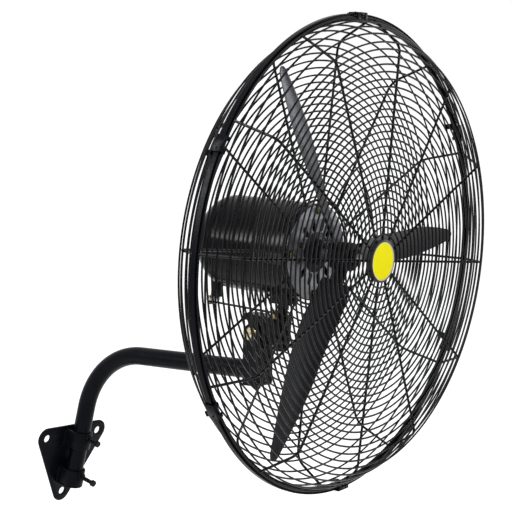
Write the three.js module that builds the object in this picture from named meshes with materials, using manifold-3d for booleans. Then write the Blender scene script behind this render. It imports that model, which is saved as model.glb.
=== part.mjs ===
// Wall mounted oscillating fan: wall plate, swivelling arm, tilt head, motor, blades and wire guards.
// Millimetres, +Z up. The wall is the plane Y = 0 and the fan blows towards -Y.
// The origin is the middle of the wall plate's three holes, on the plate's back face.

import * as THREE from 'three';
import { mergeVertices } from 'three/addons/utils/BufferGeometryUtils.js';
import Module from 'manifold-3d';

const wasm = await Module();
wasm.setup();

// ---------------------------------------------------------------- driving dimensions

const CLEARANCE = 0.4; // air between pieces that touch or turn in one another

// Wall plate and its two collars
const PLATE_THICKNESS = 4;
const HOLE_SPAN = 137; // between the two upper holes
const HOLE_RISE = 120; // from the lower hole up to the upper ones
const HOLE_DIAMETER = 14;
const PLATE_CORNER_RADIUS = 21;
const COLLAR_WALL = 4.4;
const COLLAR_HEIGHT = 34;
const UPPER_COLLAR_Z = 59;
const LOWER_COLLAR_Z = -20;
const TUBE_STANDOFF = 21.5; // tube axis in front of the plate's face

// Clamp bolts through the collars
const CLAMP_BOLT_RADIUS = 4;
const CLAMP_HEAD_FLATS = 12;
const CLAMP_HEAD_HEIGHT = 5.5;
const CLAMP_BOSS_RADIUS = 8;
const CLAMP_BOSS_HEIGHT = 4;
const CLAMP_RISE = 7; // bolts sit above the middle of their collars
const UPPER_CLAMP_REACH = 44; // from the tube axis to the underside of the head
const LOWER_CLAMP_REACH = 53;

// Arm tube
const TUBE_RADIUS = 17;
const TUBE_WALL = 2.8;
const BEND_RADIUS = 148;
const ARM_RISE = THREE.MathUtils.degToRad(14);
const ARM_REACH = 365.5; // level distance from the upright tube to the tilt bolt

// Yoke casting at the arm's end, in a frame that lies along the arm
const TILT_BOLT_Z = 401;
const ARM_AXIS_DROP = 65.5; // arm axis below the tilt bolt, square to the arm
const YOKE_WIDTH = 40;
const YOKE_DEPTH = 36;
const YOKE_FOOT = 92; // foot of the casting below the tilt bolt
const FORK_SLOT = 22;
const FORK_SLOT_DEPTH = 25;
const SOCKET_DEPTH = 28;
const LOCK_SCREW_RADIUS = 4;

// Tilt bolt
const TILT_BOLT_RADIUS = 6;
const TILT_HEAD_FLATS = 19;
const TILT_HEAD_HEIGHT = 7.5;
const TILT_WASHER_RADIUS = 12;
const TILT_WASHER_THICKNESS = 2;

// Head frame: origin on the motor axis in the plane of the guards' rim, fan facing -Y
const HEAD_TILT = THREE.MathUtils.degToRad(10);
const PIVOT_BACK = 126.5; // swing axis behind the rim plane
const TILT_BACK = 50.5; // tilt bolt behind the swing axis
const TILT_DROP = 155.5; // tilt bolt below the motor axis

// Swivel block
const LUG_RADIUS = 16;
const TABLE_TOP = 34; // table of the block above the tilt bolt
const TABLE_THICKNESS = 11;
const TABLE_WIDTH = 40;
const TABLE_BACK = 22;
const HOUSING_RADIUS = 16.5;
const HOUSING_TOP = 39.5;
const HOUSING_FOOT = -13;
const SPINDLE_RADIUS = 8.5;

// Motor
const MOTOR_RADIUS = 83;
const MOTOR_WALL = 3;
const BELL_FACE = 66;
const BELL_THICKNESS = 4;
const CAN_END = 235;
const DOME_DEPTH = 60;
const SHAFT_RADIUS = 7.5;
const BEARING_RADIUS = 17;
const BEARING_WIDTH = 10;
const STATOR_BORE = 50;
const STATOR_START = 115;
const STATOR_END = 180;
const BELL_SCREW_CIRCLE = 72;
const BELL_SCREW_RADIUS = 3;
const VENT_INNER = 36;
const VENT_OUTER = 58;
const VENT_WIDTH = 9;
const VENT_COUNT = 12;
const SADDLE_WIDTH = 38;
const SADDLE_DEPTH = 34;
const SADDLE_FOOT = 96; // underside of the saddle below the motor axis

// Swing drive
const HALF_SWING = THREE.MathUtils.degToRad(45); // swing at the crank's dead centres
const LEVER = 24; // fixed link pin from the swing axis
const LEVER_ANGLE = THREE.MathUtils.degToRad(182);
const CRANK_BACK = 277;
const GEARBOX_WIDTH = 18;
const GEARBOX_DEPTH = 18;
const GEARBOX_CORNER = 5;
const GEARBOX_FOOT = 103.2;
const CRANK_THICKNESS = 4.8;
const CRANK_SCREW_FLATS = 9;
const CRANK_SCREW_HEAD = 3.5;
const CRANK_NUT_HEIGHT = 3;
const LINK_THICKNESS = 3;
const LINK_WIDTH = 6;
const LINK_EYE_RADIUS = 5.5;
const OPEN_EYE_RADIUS = 7.6;
const LINK_PIN_RADIUS = 2.6;
const LINK_PIN_FLATS = 12;
const LINK_PIN_HEAD = 3.4;
const OPEN_PIVOT_CLEARANCE = 2.1; // play in the eye at the fixed pin

// Blades
const BLADE_COUNT = 3;
const BLADE_TIP_RADIUS = 366;
const BLADE_ROOT_RADIUS = 45;
const BLADE_CHORD = 61;
const BLADE_SHIFT = -4.5; // chord middle from the radial line, towards the trailing edge
const BLADE_THICKNESS = 1.6;
const BLADE_PLANE = 12;
const BLADE_TURN = 6; // degrees, first blade from +X
const HUB_RADIUS = 24;
const HUB_FRONT = -10;
const HUB_BACK = 28;
const SPIDER_REACH = 175;
const SPIDER_THICKNESS = 4;

// Guards
const RIM_RADIUS = 400;
const RIM_DEPTH = 12;
const RIM_WIDTH = 5;
const RIM_WIRE = 4.4;
const RIB_WIRE = 4.6;
const RING_WIRE = 3.4;
const RIB_COUNT = 12;
const GUARD_TURN = -2; // degrees, first rib from +X
const RING_PITCH = 64;
const FRONT_CORNER_RADIUS = 355; // where a guard's side wall meets its face
const REAR_CORNER_RADIUS = 360;
const CORNER_BEND = 27;
const FRONT_CORNER_DEPTH = 63;
const FRONT_FACE_DEPTH = 66.6;
const REAR_CORNER_DEPTH = 66.4;
const REAR_FACE_DEPTH = 68;
const FRONT_INNER_RADIUS = 38;
const REAR_INNER_RADIUS = 89;
const CLIP_COUNT = 6;
const CLIP_TURN = 34;
const CLIP_LENGTH = 28;
const CLIP_SHEET = 2;
const CLIP_TONGUE = 9;
const CLIP_LEVER = 5; // the tongue's end stands out by this much
const BADGE_RADIUS = 31;
const BADGE_THICKNESS = 1.5;

const MOTOR_SEGMENTS = 24;
const DOME_STEPS = 6;
const EPSILON = 1e-4;

// ---------------------------------------------------------------- materials

const paint = (color, roughness, metalness) =>
  new THREE.MeshStandardMaterial({ color, roughness, metalness });

const blackPaint = paint(0x15161a, 0.45, 0.2);
const glossBlack = paint(0x0e0f12, 0.3, 0.3);
const castBlack = paint(0x191a1d, 0.6, 0.3);
const bladeGrey = paint(0x2b2c31, 0.5, 0.3);
const bareSteel = paint(0x8c8f94, 0.35, 0.9);
const yellowZinc = paint(0xb39a55, 0.35, 0.9);
const brass = paint(0xc2a04d, 0.3, 0.9);
const copper = paint(0xa5622f, 0.5, 0.6);
const yellowPlastic = paint(0xf2e205, 0.4, 0);
const blackPlastic = paint(0x121214, 0.5, 0);

// ---------------------------------------------------------------- solids and helpers

function toSolid(geometry) {
  const bare = geometry.clone();
  bare.deleteAttribute('normal');
  bare.deleteAttribute('uv');
  const merged = mergeVertices(bare, EPSILON);
  const position = merged.attributes.position;
  const corners = [];
  let volume = 0;
  const a = new THREE.Vector3();
  const b = new THREE.Vector3();
  const c = new THREE.Vector3();
  for (let i = 0; i < merged.index.count; i += 3) {
    const tri = [0, 1, 2].map((k) => merged.index.getX(i + k));
    if (tri[0] === tri[1] || tri[1] === tri[2] || tri[0] === tri[2]) continue;
    a.fromBufferAttribute(position, tri[0]);
    b.fromBufferAttribute(position, tri[1]);
    c.fromBufferAttribute(position, tri[2]);
    volume += a.dot(b.cross(c));
    corners.push(tri);
  }
  const ordered = volume < 0 ? corners.map((tri) => [tri[0], tri[2], tri[1]]) : corners;
  return new wasm.Manifold(
    new wasm.Mesh({
      numProp: 3,
      vertProperties: new Float32Array(position.array),
      triVerts: new Uint32Array(ordered.flat()),
    }),
  );
}

function toGeometry(solid) {
  const mesh = solid.getMesh();
  const geometry = new THREE.BufferGeometry();
  geometry.setAttribute('position', new THREE.BufferAttribute(mesh.vertProperties, 3));
  geometry.setIndex(new THREE.BufferAttribute(mesh.triVerts, 1));
  geometry.computeVertexNormals();
  return geometry;
}

const join = (...solids) => solids.reduce((whole, piece) => whole.add(piece));
const cut = (body, ...tools) => tools.reduce((whole, piece) => whole.subtract(piece), body);

// Maps a drawing's x, y and extrusion to the model's axes.
const ACROSS_X = new THREE.Matrix4().makeBasis(
  new THREE.Vector3(0, 1, 0),
  new THREE.Vector3(0, 0, 1),
  new THREE.Vector3(1, 0, 0),
);
const ALONG_Y = new THREE.Matrix4().makeBasis(
  new THREE.Vector3(1, 0, 0),
  new THREE.Vector3(0, 0, 1),
  new THREE.Vector3(0, -1, 0),
);
const UPWARD = new THREE.Matrix4();

const moved = (geometry, x, y, z) => geometry.translate(x, y, z);

function extrude(shape, depth, plane, curveSegments = 8) {
  const geometry = new THREE.ExtrudeGeometry(shape, { depth, bevelEnabled: false, curveSegments });
  return geometry.applyMatrix4(plane);
}

function block(sizeX, sizeY, sizeZ, x, y, z) {
  return toSolid(moved(new THREE.BoxGeometry(sizeX, sizeY, sizeZ), x, y, z));
}

function rodX(radius, from, to, y, z, sides = 12) {
  const rod = new THREE.CylinderGeometry(radius, radius, to - from, sides);
  rod.rotateZ(Math.PI / 2);
  return toSolid(moved(rod, (from + to) / 2, y, z));
}

function rodY(radius, from, to, x, z, sides = 12) {
  const rod = new THREE.CylinderGeometry(radius, radius, to - from, sides);
  return toSolid(moved(rod, x, (from + to) / 2, z));
}

function rodZ(radius, from, to, x, y, sides = 12) {
  const rod = new THREE.CylinderGeometry(radius, radius, to - from, sides);
  rod.rotateX(Math.PI / 2);
  return toSolid(moved(rod, x, y, (from + to) / 2));
}

// A hexagon's corners lie this much further out than its flats.
const hexRadius = (flats) => flats / Math.sqrt(3);

// A body turned round the motor axis from a list of [radius, y] corners that closes on itself.
function turned(profile, segments) {
  const points = profile.map(([radius, y]) => new THREE.Vector2(radius, y));
  points.push(points[0].clone());
  return toSolid(new THREE.LatheGeometry(points, segments));
}

// An outline that wraps circles of one radius round the corners of a convex, counter-clockwise polygon.
function wrapped(corners, radius) {
  const shape = new THREE.Shape();
  const normals = corners.map((corner, i) => {
    const next = corners[(i + 1) % corners.length];
    return Math.atan2(corner[0] - next[0], next[1] - corner[1]);
  });
  corners.forEach(([x, y], i) => {
    const before = normals[(i + corners.length - 1) % corners.length];
    shape.absarc(x, y, radius, before, normals[i], false);
  });
  shape.closePath();
  return shape;
}

function circleShape(x, y, radius) {
  const shape = new THREE.Shape();
  shape.absarc(x, y, radius, 0, 2 * Math.PI, false);
  return shape;
}

// A path that a section follows from station to station, each with its own tangent.
class StationPath extends THREE.Curve {
  constructor(stations) {
    super();
    this.stations = stations;
  }

  at(u) {
    return this.stations[Math.round(u * (this.stations.length - 1))];
  }

  getPointAt(u) {
    return this.at(u).point.clone();
  }

  getTangentAt(u) {
    return this.at(u).tangent.clone();
  }
}

function swept(section, stations, curveSegments = 8) {
  return toSolid(
    new THREE.ExtrudeGeometry(section, {
      steps: stations.length - 1,
      bevelEnabled: false,
      extrudePath: new StationPath(stations),
      curveSegments,
    }),
  );
}

// A straight run, a bend of the given radius at the corner and a straight run, in plane coordinates.
function bentLine(start, corner, end, radius, steps) {
  const inward = corner.clone().sub(start).normalize();
  const outward = end.clone().sub(corner).normalize();
  const turn = Math.acos(inward.dot(outward));
  const side = Math.sign(inward.x * outward.y - inward.y * outward.x);
  const tangentLength = radius * Math.tan(turn / 2);
  const bendStart = corner.clone().addScaledVector(inward, -tangentLength);
  const centre = bendStart.clone().add(new THREE.Vector2(-inward.y, inward.x).multiplyScalar(side * radius));
  const line = [{ point: start.clone(), tangent: inward.clone() }];
  for (let i = 0; i <= steps; i += 1) {
    const angle = (side * turn * i) / steps;
    const point = bendStart.clone().rotateAround(centre, angle);
    const tangent = inward.clone().rotateAround(new THREE.Vector2(), angle);
    line.push({ point, tangent });
  }
  line.push({ point: end.clone(), tangent: outward.clone() });
  return line;
}

const inPlane = (line, place) =>
  line.map(({ point, tangent }) => ({ point: place(point.x, point.y), tangent: place(tangent.x, tangent.y) }));

// A thin body through sections that each list a front row and a back row of points.
function lofted(sections) {
  const across = sections[0].front.length;
  const loopLength = 2 * across;
  const vertices = sections.flatMap(({ front, back }) => [...front, ...[...back].reverse()]);
  const triangles = [];
  for (let s = 0; s + 1 < sections.length; s += 1) {
    for (let i = 0; i < loopLength; i += 1) {
      const next = (i + 1) % loopLength;
      const a = s * loopLength + i;
      const b = s * loopLength + next;
      triangles.push(a, b, b + loopLength, a, b + loopLength, a + loopLength);
    }
  }
  const last = (sections.length - 1) * loopLength;
  for (let i = 0; i + 1 < across; i += 1) {
    const opposite = loopLength - 1 - i;
    triangles.push(i, opposite, opposite - 1, i, opposite - 1, i + 1);
    triangles.push(last + i, last + opposite - 1, last + opposite, last + i, last + i + 1, last + opposite - 1);
  }
  const geometry = new THREE.BufferGeometry();
  geometry.setAttribute('position', new THREE.Float32BufferAttribute(vertices.flatMap((v) => v.toArray()), 3));
  geometry.setIndex(triangles);
  return toSolid(geometry);
}

const turnedAbout = (solid, degrees) => {
  const geometry = toGeometry(solid);
  return toSolid(geometry.rotateY(-THREE.MathUtils.degToRad(degrees)));
};

// ---------------------------------------------------------------- scene graph

const fan = new THREE.Group();
const yokeFrame = new THREE.Group();
const headFrame = new THREE.Group();
fan.add(yokeFrame, headFrame);

const tubeY = -(PLATE_THICKNESS + TUBE_STANDOFF);
const tiltPoint = new THREE.Vector3(0, tubeY - ARM_REACH, TILT_BOLT_Z);
yokeFrame.position.copy(tiltPoint);
yokeFrame.rotation.x = -ARM_RISE;

const headOffset = new THREE.Vector3(0, -(PIVOT_BACK + TILT_BACK), TILT_DROP);
headFrame.rotation.x = -HEAD_TILT;
headFrame.position.copy(headOffset).applyEuler(headFrame.rotation).add(tiltPoint);

function place(parent, name, solid, material) {
  const mesh = new THREE.Mesh(toGeometry(solid), material);
  mesh.name = name;
  parent.add(mesh);
}

// ---------------------------------------------------------------- wall plate

const collarInner = TUBE_RADIUS + CLEARANCE;
const collarOuter = collarInner + COLLAR_WALL;

// A strap bent round the front of the tube, seen from above.
function strapOutline(radius, footY) {
  const shape = new THREE.Shape();
  shape.moveTo(-radius, footY);
  shape.lineTo(-radius, tubeY);
  shape.absarc(0, tubeY, radius, Math.PI, 2 * Math.PI, false);
  shape.lineTo(radius, footY);
  shape.closePath();
  return shape;
}

function collar(middle) {
  const shape = strapOutline(collarOuter, -PLATE_THICKNESS / 2);
  shape.holes.push(strapOutline(collarInner, -PLATE_THICKNESS));
  const foot = middle - COLLAR_HEIGHT / 2;
  const strap = toSolid(moved(extrude(shape, COLLAR_HEIGHT, UPWARD, 8), 0, 0, foot));
  const front = tubeY - collarOuter;
  const boltZ = middle + CLAMP_RISE;
  const boss = rodY(CLAMP_BOSS_RADIUS, front - CLAMP_BOSS_HEIGHT, front + COLLAR_WALL / 2, 0, boltZ);
  const bolt = rodY(CLAMP_BOLT_RADIUS + CLEARANCE, front - 2 * CLAMP_BOSS_HEIGHT, tubeY, 0, boltZ);
  return cut(join(strap, boss), bolt);
}

function wallPlate() {
  const upperZ = HOLE_RISE / 2;
  const holes = [
    [-HOLE_SPAN / 2, upperZ],
    [0, -upperZ],
    [HOLE_SPAN / 2, upperZ],
  ];
  const outline = wrapped(holes, PLATE_CORNER_RADIUS);
  holes.forEach(([x, z]) => outline.holes.push(circleShape(x, z, HOLE_DIAMETER / 2)));
  const sheet = toSolid(extrude(outline, PLATE_THICKNESS, ALONG_Y));
  const cupFloor = toSolid(
    moved(
      extrude(strapOutline(collarOuter, -PLATE_THICKNESS / 2), COLLAR_WALL, UPWARD, 8),
      0,
      0,
      LOWER_COLLAR_Z - COLLAR_HEIGHT / 2,
    ),
  );
  return join(sheet, collar(UPPER_COLLAR_Z), collar(LOWER_COLLAR_Z), cupFloor);
}

place(fan, 'wall_plate', wallPlate(), blackPaint);

function clampBolt(reach, z) {
  const tip = tubeY - TUBE_RADIUS - CLEARANCE;
  const head = tubeY - reach;
  return join(
    rodY(CLAMP_BOLT_RADIUS, head - CLEARANCE, tip, 0, z, 12),
    rodY(hexRadius(CLAMP_HEAD_FLATS), head - CLAMP_HEAD_HEIGHT, head, 0, z, 6),
  );
}

place(fan, 'clamp_bolt_upper', clampBolt(UPPER_CLAMP_REACH, UPPER_COLLAR_Z + CLAMP_RISE), castBlack);
place(fan, 'clamp_bolt_lower', clampBolt(LOWER_CLAMP_REACH, LOWER_COLLAR_Z + CLAMP_RISE), castBlack);

// ---------------------------------------------------------------- arm tube and yoke casting

function armTube() {
  const foot = new THREE.Vector2(tubeY, LOWER_COLLAR_Z - COLLAR_HEIGHT / 2 + COLLAR_WALL + CLEARANCE);
  const along = new THREE.Vector2(-Math.cos(ARM_RISE), Math.sin(ARM_RISE));
  const belowBolt = new THREE.Vector2(-Math.sin(ARM_RISE), -Math.cos(ARM_RISE)).multiplyScalar(ARM_AXIS_DROP);
  const underBolt = new THREE.Vector2(tiltPoint.y, tiltPoint.z).add(belowBolt);
  const bend = new THREE.Vector2(
    tubeY,
    underBolt.y - ((tubeY - underBolt.x) * along.y) / -along.x,
  );
  const end = underBolt.clone().addScaledVector(along, -(YOKE_DEPTH / 2 - SOCKET_DEPTH));
  const section = circleShape(0, 0, TUBE_RADIUS);
  section.holes.push(circleShape(0, 0, TUBE_RADIUS - TUBE_WALL));
  const line = inPlane(bentLine(foot, bend, end, BEND_RADIUS, 8), (y, z) => new THREE.Vector3(0, y, z));
  return swept(section, line, 8);
}

place(fan, 'arm_tube', armTube(), glossBlack);

// Side view of the casting: square shoulders at the foot, a round crown about the tilt bolt.
function yokeProfile() {
  const half = YOKE_DEPTH / 2;
  const footRadius = 6;
  const shape = new THREE.Shape();
  shape.absarc(0, 0, half, 0, Math.PI, false);
  shape.lineTo(-half, -YOKE_FOOT + footRadius);
  shape.absarc(-half + footRadius, -YOKE_FOOT + footRadius, footRadius, Math.PI, 1.5 * Math.PI, false);
  shape.absarc(half - footRadius, -YOKE_FOOT + footRadius, footRadius, 1.5 * Math.PI, 2 * Math.PI, false);
  shape.closePath();
  return shape;
}

function yoke() {
  const half = YOKE_DEPTH / 2;
  const body = toSolid(moved(extrude(yokeProfile(), YOKE_WIDTH, ACROSS_X, 6), -YOKE_WIDTH / 2, 0, 0));
  const slotHeight = FORK_SLOT_DEPTH + 2 * half;
  const slot = block(FORK_SLOT, 4 * half, slotHeight, 0, 0, slotHeight / 2 - FORK_SLOT_DEPTH);
  const boltHole = rodX(TILT_BOLT_RADIUS + CLEARANCE, -YOKE_WIDTH, YOKE_WIDTH, 0, 0);
  const socketBack = half - SOCKET_DEPTH - CLEARANCE;
  const socket = rodY(TUBE_RADIUS + CLEARANCE, socketBack, 2 * half, 0, -ARM_AXIS_DROP, 24);
  const lockHole = rodZ(LOCK_SCREW_RADIUS + CLEARANCE, -2 * YOKE_FOOT, -ARM_AXIS_DROP, 0, 0, 12);
  return cut(body, slot, boltHole, socket, lockHole);
}

place(yokeFrame, 'yoke_casting', yoke(), castBlack);

function lockScrew() {
  const tip = -ARM_AXIS_DROP - TUBE_RADIUS - CLEARANCE;
  const head = -YOKE_FOOT - CLEARANCE;
  return join(
    rodZ(LOCK_SCREW_RADIUS, head - CLEARANCE, tip, 0, 0, 12),
    rodZ(hexRadius(CLAMP_HEAD_FLATS), head - CLAMP_HEAD_HEIGHT, head, 0, 0, 6),
  );
}

place(yokeFrame, 'yoke_lock_screw', lockScrew(), castBlack);

const washerInner = YOKE_WIDTH / 2 + CLEARANCE;
const washerOuter = washerInner + TILT_WASHER_THICKNESS;

function tiltWasher(side) {
  const from = side > 0 ? washerInner : -washerOuter;
  const disc = rodX(TILT_WASHER_RADIUS, from, from + TILT_WASHER_THICKNESS, 0, 0, 20);
  return cut(disc, rodX(TILT_BOLT_RADIUS + CLEARANCE, from - 1, from + TILT_WASHER_THICKNESS + 1, 0, 0));
}

function tiltBolt() {
  const head = -(washerOuter + CLEARANCE);
  const end = washerOuter + TILT_HEAD_HEIGHT + 2 * CLEARANCE + 3;
  return join(
    rodX(TILT_BOLT_RADIUS, head - CLEARANCE, end, 0, 0),
    rodX(hexRadius(TILT_HEAD_FLATS), head - TILT_HEAD_HEIGHT, head, 0, 0, 6),
  );
}

function tiltNut() {
  const from = washerOuter + CLEARANCE;
  const hex = rodX(hexRadius(TILT_HEAD_FLATS), from, from + TILT_HEAD_HEIGHT, 0, 0, 6);
  return cut(hex, rodX(TILT_BOLT_RADIUS + CLEARANCE, from - 1, from + TILT_HEAD_HEIGHT + 1, 0, 0));
}

place(yokeFrame, 'tilt_bolt', tiltBolt(), yellowZinc);
place(yokeFrame, 'tilt_washer_left', tiltWasher(-1), yellowZinc);
place(yokeFrame, 'tilt_washer_right', tiltWasher(1), yellowZinc);
place(yokeFrame, 'tilt_nut', tiltNut(), yellowZinc);

// ---------------------------------------------------------------- swivel block

const tiltY = PIVOT_BACK + TILT_BACK;
const tableTop = -TILT_DROP + TABLE_TOP;
const housingTop = -TILT_DROP + HOUSING_TOP;
const housingFoot = -TILT_DROP + HOUSING_FOOT;
const leverPin = new THREE.Vector2(
  LEVER * Math.cos(LEVER_ANGLE),
  PIVOT_BACK + LEVER * Math.sin(LEVER_ANGLE),
);

function swivelBlock() {
  const lugWidth = FORK_SLOT - 2 * CLEARANCE;
  const tableFoot = tableTop - TABLE_THICKNESS;
  const side = wrapped(
    [
      [PIVOT_BACK + LUG_RADIUS, -TILT_DROP + LUG_RADIUS / 2],
      [tiltY, -TILT_DROP],
      [tiltY, tableTop - LUG_RADIUS - 1],
      [PIVOT_BACK + LUG_RADIUS, tableTop - LUG_RADIUS - 1],
    ],
    LUG_RADIUS,
  );
  const web = toSolid(moved(extrude(side, lugWidth, ACROSS_X, 4), -lugWidth / 2, 0, 0));
  const cornerRadius = 6;
  const halfTable = TABLE_WIDTH / 2 - cornerRadius;
  const tableShape = wrapped(
    [
      [-halfTable, PIVOT_BACK],
      [halfTable, PIVOT_BACK],
      [halfTable, tiltY + TABLE_BACK - cornerRadius],
      [-halfTable, tiltY + TABLE_BACK - cornerRadius],
    ],
    cornerRadius,
  );
  const table = toSolid(moved(extrude(tableShape, TABLE_THICKNESS, UPWARD, 4), 0, 0, tableFoot));
  const ear = rodZ(8, tableFoot, tableTop, leverPin.x, leverPin.y);
  const housing = rodZ(HOUSING_RADIUS, housingFoot, housingTop, 0, PIVOT_BACK, 20);
  const bore = rodZ(SPINDLE_RADIUS + CLEARANCE, housingFoot - 1, housingTop + 1, 0, PIVOT_BACK, 16);
  const boltHole = rodX(TILT_BOLT_RADIUS + CLEARANCE, -YOKE_WIDTH, YOKE_WIDTH, tiltY, -TILT_DROP);
  const pinHole = rodZ(LINK_PIN_RADIUS + CLEARANCE, tableFoot - 1, tableTop + 1, leverPin.x, leverPin.y, 12);
  return cut(join(web, table, ear, housing), bore, boltHole, pinHole);
}

place(headFrame, 'swivel_block', swivelBlock(), castBlack);

// ---------------------------------------------------------------- motor

function motorCan() {
  const from = BELL_FACE + BELL_THICKNESS + CLEARANCE;
  const inner = MOTOR_RADIUS - MOTOR_WALL;
  return turned([[inner, from], [MOTOR_RADIUS, from], [MOTOR_RADIUS, CAN_END], [inner, CAN_END]], MOTOR_SEGMENTS);
}

place(headFrame, 'motor_can', motorCan(), glossBlack);

const domeStart = CAN_END + CLEARANCE;
const shaftEnd = CAN_END + 21;

// The rear cover's outline, a quarter ellipse grown outwards by the given amount.
function domeOutline(grow, steps) {
  const points = [];
  for (let i = 0; i <= steps; i += 1) {
    const angle = (Math.PI / 2) * (i / steps);
    points.push([(MOTOR_RADIUS + grow) * Math.cos(angle), domeStart + 5 + (DOME_DEPTH + grow) * Math.sin(angle)]);
  }
  points[points.length - 1][0] = 0;
  return points;
}

function rearCover() {
  const seatDepth = BEARING_WIDTH + 2 * CLEARANCE;
  const seatRadius = BEARING_RADIUS + CLEARANCE;
  const bossRadius = seatRadius + 4;
  const innerRadius = MOTOR_RADIUS - MOTOR_WALL;
  const outline = domeOutline(0, DOME_STEPS);
  const inside = domeOutline(-MOTOR_WALL, DOME_STEPS).filter(([radius]) => radius > bossRadius).reverse();
  const profile = [
    [MOTOR_RADIUS, domeStart],
    ...outline,
    [0, shaftEnd + CLEARANCE],
    [seatRadius - 4, shaftEnd + CLEARANCE],
    [seatRadius - 4, domeStart + seatDepth],
    [seatRadius, domeStart + seatDepth],
    [seatRadius, domeStart],
    [bossRadius, domeStart],
    [bossRadius, inside[0][1]],
    ...inside,
    [innerRadius, domeStart],
  ];
  return turned(profile, MOTOR_SEGMENTS);
}

place(headFrame, 'rear_cover', rearCover(), glossBlack);

const bellBossFront = BELL_FACE - 14;

function ventSlot(degrees) {
  const half = VENT_WIDTH / 2;
  const shape = wrapped([[VENT_INNER + half, 0], [VENT_OUTER - half, 0]], half);
  const slot = extrude(shape, 4 * BELL_THICKNESS, ALONG_Y, 2);
  return toSolid(moved(slot, 0, BELL_FACE + 2.5 * BELL_THICKNESS, 0).rotateY(-THREE.MathUtils.degToRad(degrees)));
}

function bellScrewPlaces() {
  return [0, 1, 2, 3].map((k) => {
    const angle = THREE.MathUtils.degToRad(90 * k + 2);
    return [BELL_SCREW_CIRCLE * Math.cos(angle), BELL_SCREW_CIRCLE * Math.sin(angle)];
  });
}

function endBell() {
  const seatRadius = BEARING_RADIUS + CLEARANCE;
  const bossRadius = seatRadius + 4;
  const spigot = MOTOR_RADIUS - MOTOR_WALL - CLEARANCE;
  const back = BELL_FACE + BELL_THICKNESS;
  const profile = [
    [SHAFT_RADIUS + 2, bellBossFront],
    [bossRadius, bellBossFront],
    [bossRadius, BELL_FACE],
    [MOTOR_RADIUS - 3, BELL_FACE],
    [MOTOR_RADIUS, BELL_FACE + 2],
    [MOTOR_RADIUS, back],
    [spigot, back],
    [spigot, back + 8],
    [spigot - 14, back + 8],
    [spigot - 17, back],
    [seatRadius, back],
    [seatRadius, bellBossFront + 3],
    [SHAFT_RADIUS + 2, bellBossFront + 3],
  ];
  const vents = Array.from({ length: VENT_COUNT }, (_, k) => ventSlot((360 / VENT_COUNT) * (k + 0.5)));
  const holes = bellScrewPlaces().map(([x, z]) =>
    rodY(BELL_SCREW_RADIUS + CLEARANCE, BELL_FACE - 10, back + 20, x, z, 10),
  );
  return cut(turned(profile, MOTOR_SEGMENTS), ...vents, ...holes);
}

place(headFrame, 'end_bell', endBell(), castBlack);

function bearing(from) {
  const inner = SHAFT_RADIUS + CLEARANCE;
  return turned(
    [[inner, from], [BEARING_RADIUS, from], [BEARING_RADIUS, from + BEARING_WIDTH], [inner, from + BEARING_WIDTH]],
    24,
  );
}

place(headFrame, 'front_bearing', bearing(bellBossFront + 3 + CLEARANCE), bareSteel);
place(headFrame, 'rear_bearing', bearing(domeStart + CLEARANCE), bareSteel);

function stator() {
  const outer = MOTOR_RADIUS - MOTOR_WALL - CLEARANCE;
  const coilRadius = (outer + STATOR_BORE) / 2;
  const core = turned(
    [[STATOR_BORE, STATOR_START], [outer, STATOR_START], [outer, STATOR_END], [STATOR_BORE, STATOR_END]],
    24,
  );
  const winding = turned(
    [
      [coilRadius - 9, STATOR_START - 12],
      [coilRadius + 7, STATOR_START - 12],
      [coilRadius + 10, STATOR_END + 12],
      [coilRadius - 9, STATOR_END + 12],
    ],
    24,
  );
  return join(core, winding);
}

place(headFrame, 'stator', stator(), copper);

function neckBracket() {
  const saddleTop = -MOTOR_RADIUS * 0.8;
  const saddle = block(
    SADDLE_WIDTH,
    SADDLE_DEPTH,
    SADDLE_FOOT + saddleTop,
    0,
    PIVOT_BACK,
    (saddleTop - SADDLE_FOOT) / 2,
  );
  const can = rodY(MOTOR_RADIUS + CLEARANCE, PIVOT_BACK - SADDLE_DEPTH, PIVOT_BACK + SADDLE_DEPTH, 0, 0, 80);
  const collarFoot = housingTop + CLEARANCE;
  const neck = rodZ(SPINDLE_RADIUS + 1.5, collarFoot + 9, -SADDLE_FOOT + 2, 0, PIVOT_BACK, 16);
  const spindle = rodZ(SPINDLE_RADIUS, housingFoot - 11, -SADDLE_FOOT + 2, 0, PIVOT_BACK, 16);
  return join(cut(saddle, can), neck, spindle);
}

place(headFrame, 'neck_bracket', neckBracket(), castBlack);

function pivotNut() {
  const top = housingFoot - CLEARANCE;
  const hex = rodZ(hexRadius(24), top - 9, top, 0, PIVOT_BACK, 6);
  return cut(hex, rodZ(SPINDLE_RADIUS + CLEARANCE, top - 10, top + 1, 0, PIVOT_BACK, 16));
}

place(headFrame, 'pivot_nut', pivotNut(), castBlack);

function terminalBox() {
  const box = block(12, 62, 20, -MOTOR_RADIUS, 104, -11);
  const can = rodY(MOTOR_RADIUS + CLEARANCE, 60, 150, 0, 0, 80);
  return cut(box, can);
}

place(headFrame, 'terminal_box', terminalBox(), blackPlastic);

// Screws through the front bell, which also hold the rear guard's ears.
const earThickness = 2;
const earFront = BELL_FACE - CLEARANCE - earThickness;

bellScrewPlaces().forEach(([x, z], k) => {
  const head = earFront - CLEARANCE;
  const screw = join(
    rodY(BELL_SCREW_RADIUS, head - CLEARANCE, BELL_FACE + 20, x, z, 10),
    rodY(hexRadius(10), head - 4, head, x, z, 6),
  );
  place(headFrame, `bell_screw_${k + 1}`, screw, yellowZinc);
});

// ---------------------------------------------------------------- swing drive

const linkTop = -TILT_DROP + TABLE_TOP + 11.8;
const linkFoot = linkTop - LINK_THICKNESS;
const crankFoot = linkTop + CLEARANCE;
const crankCentre = new THREE.Vector2(0, CRANK_BACK);

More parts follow.
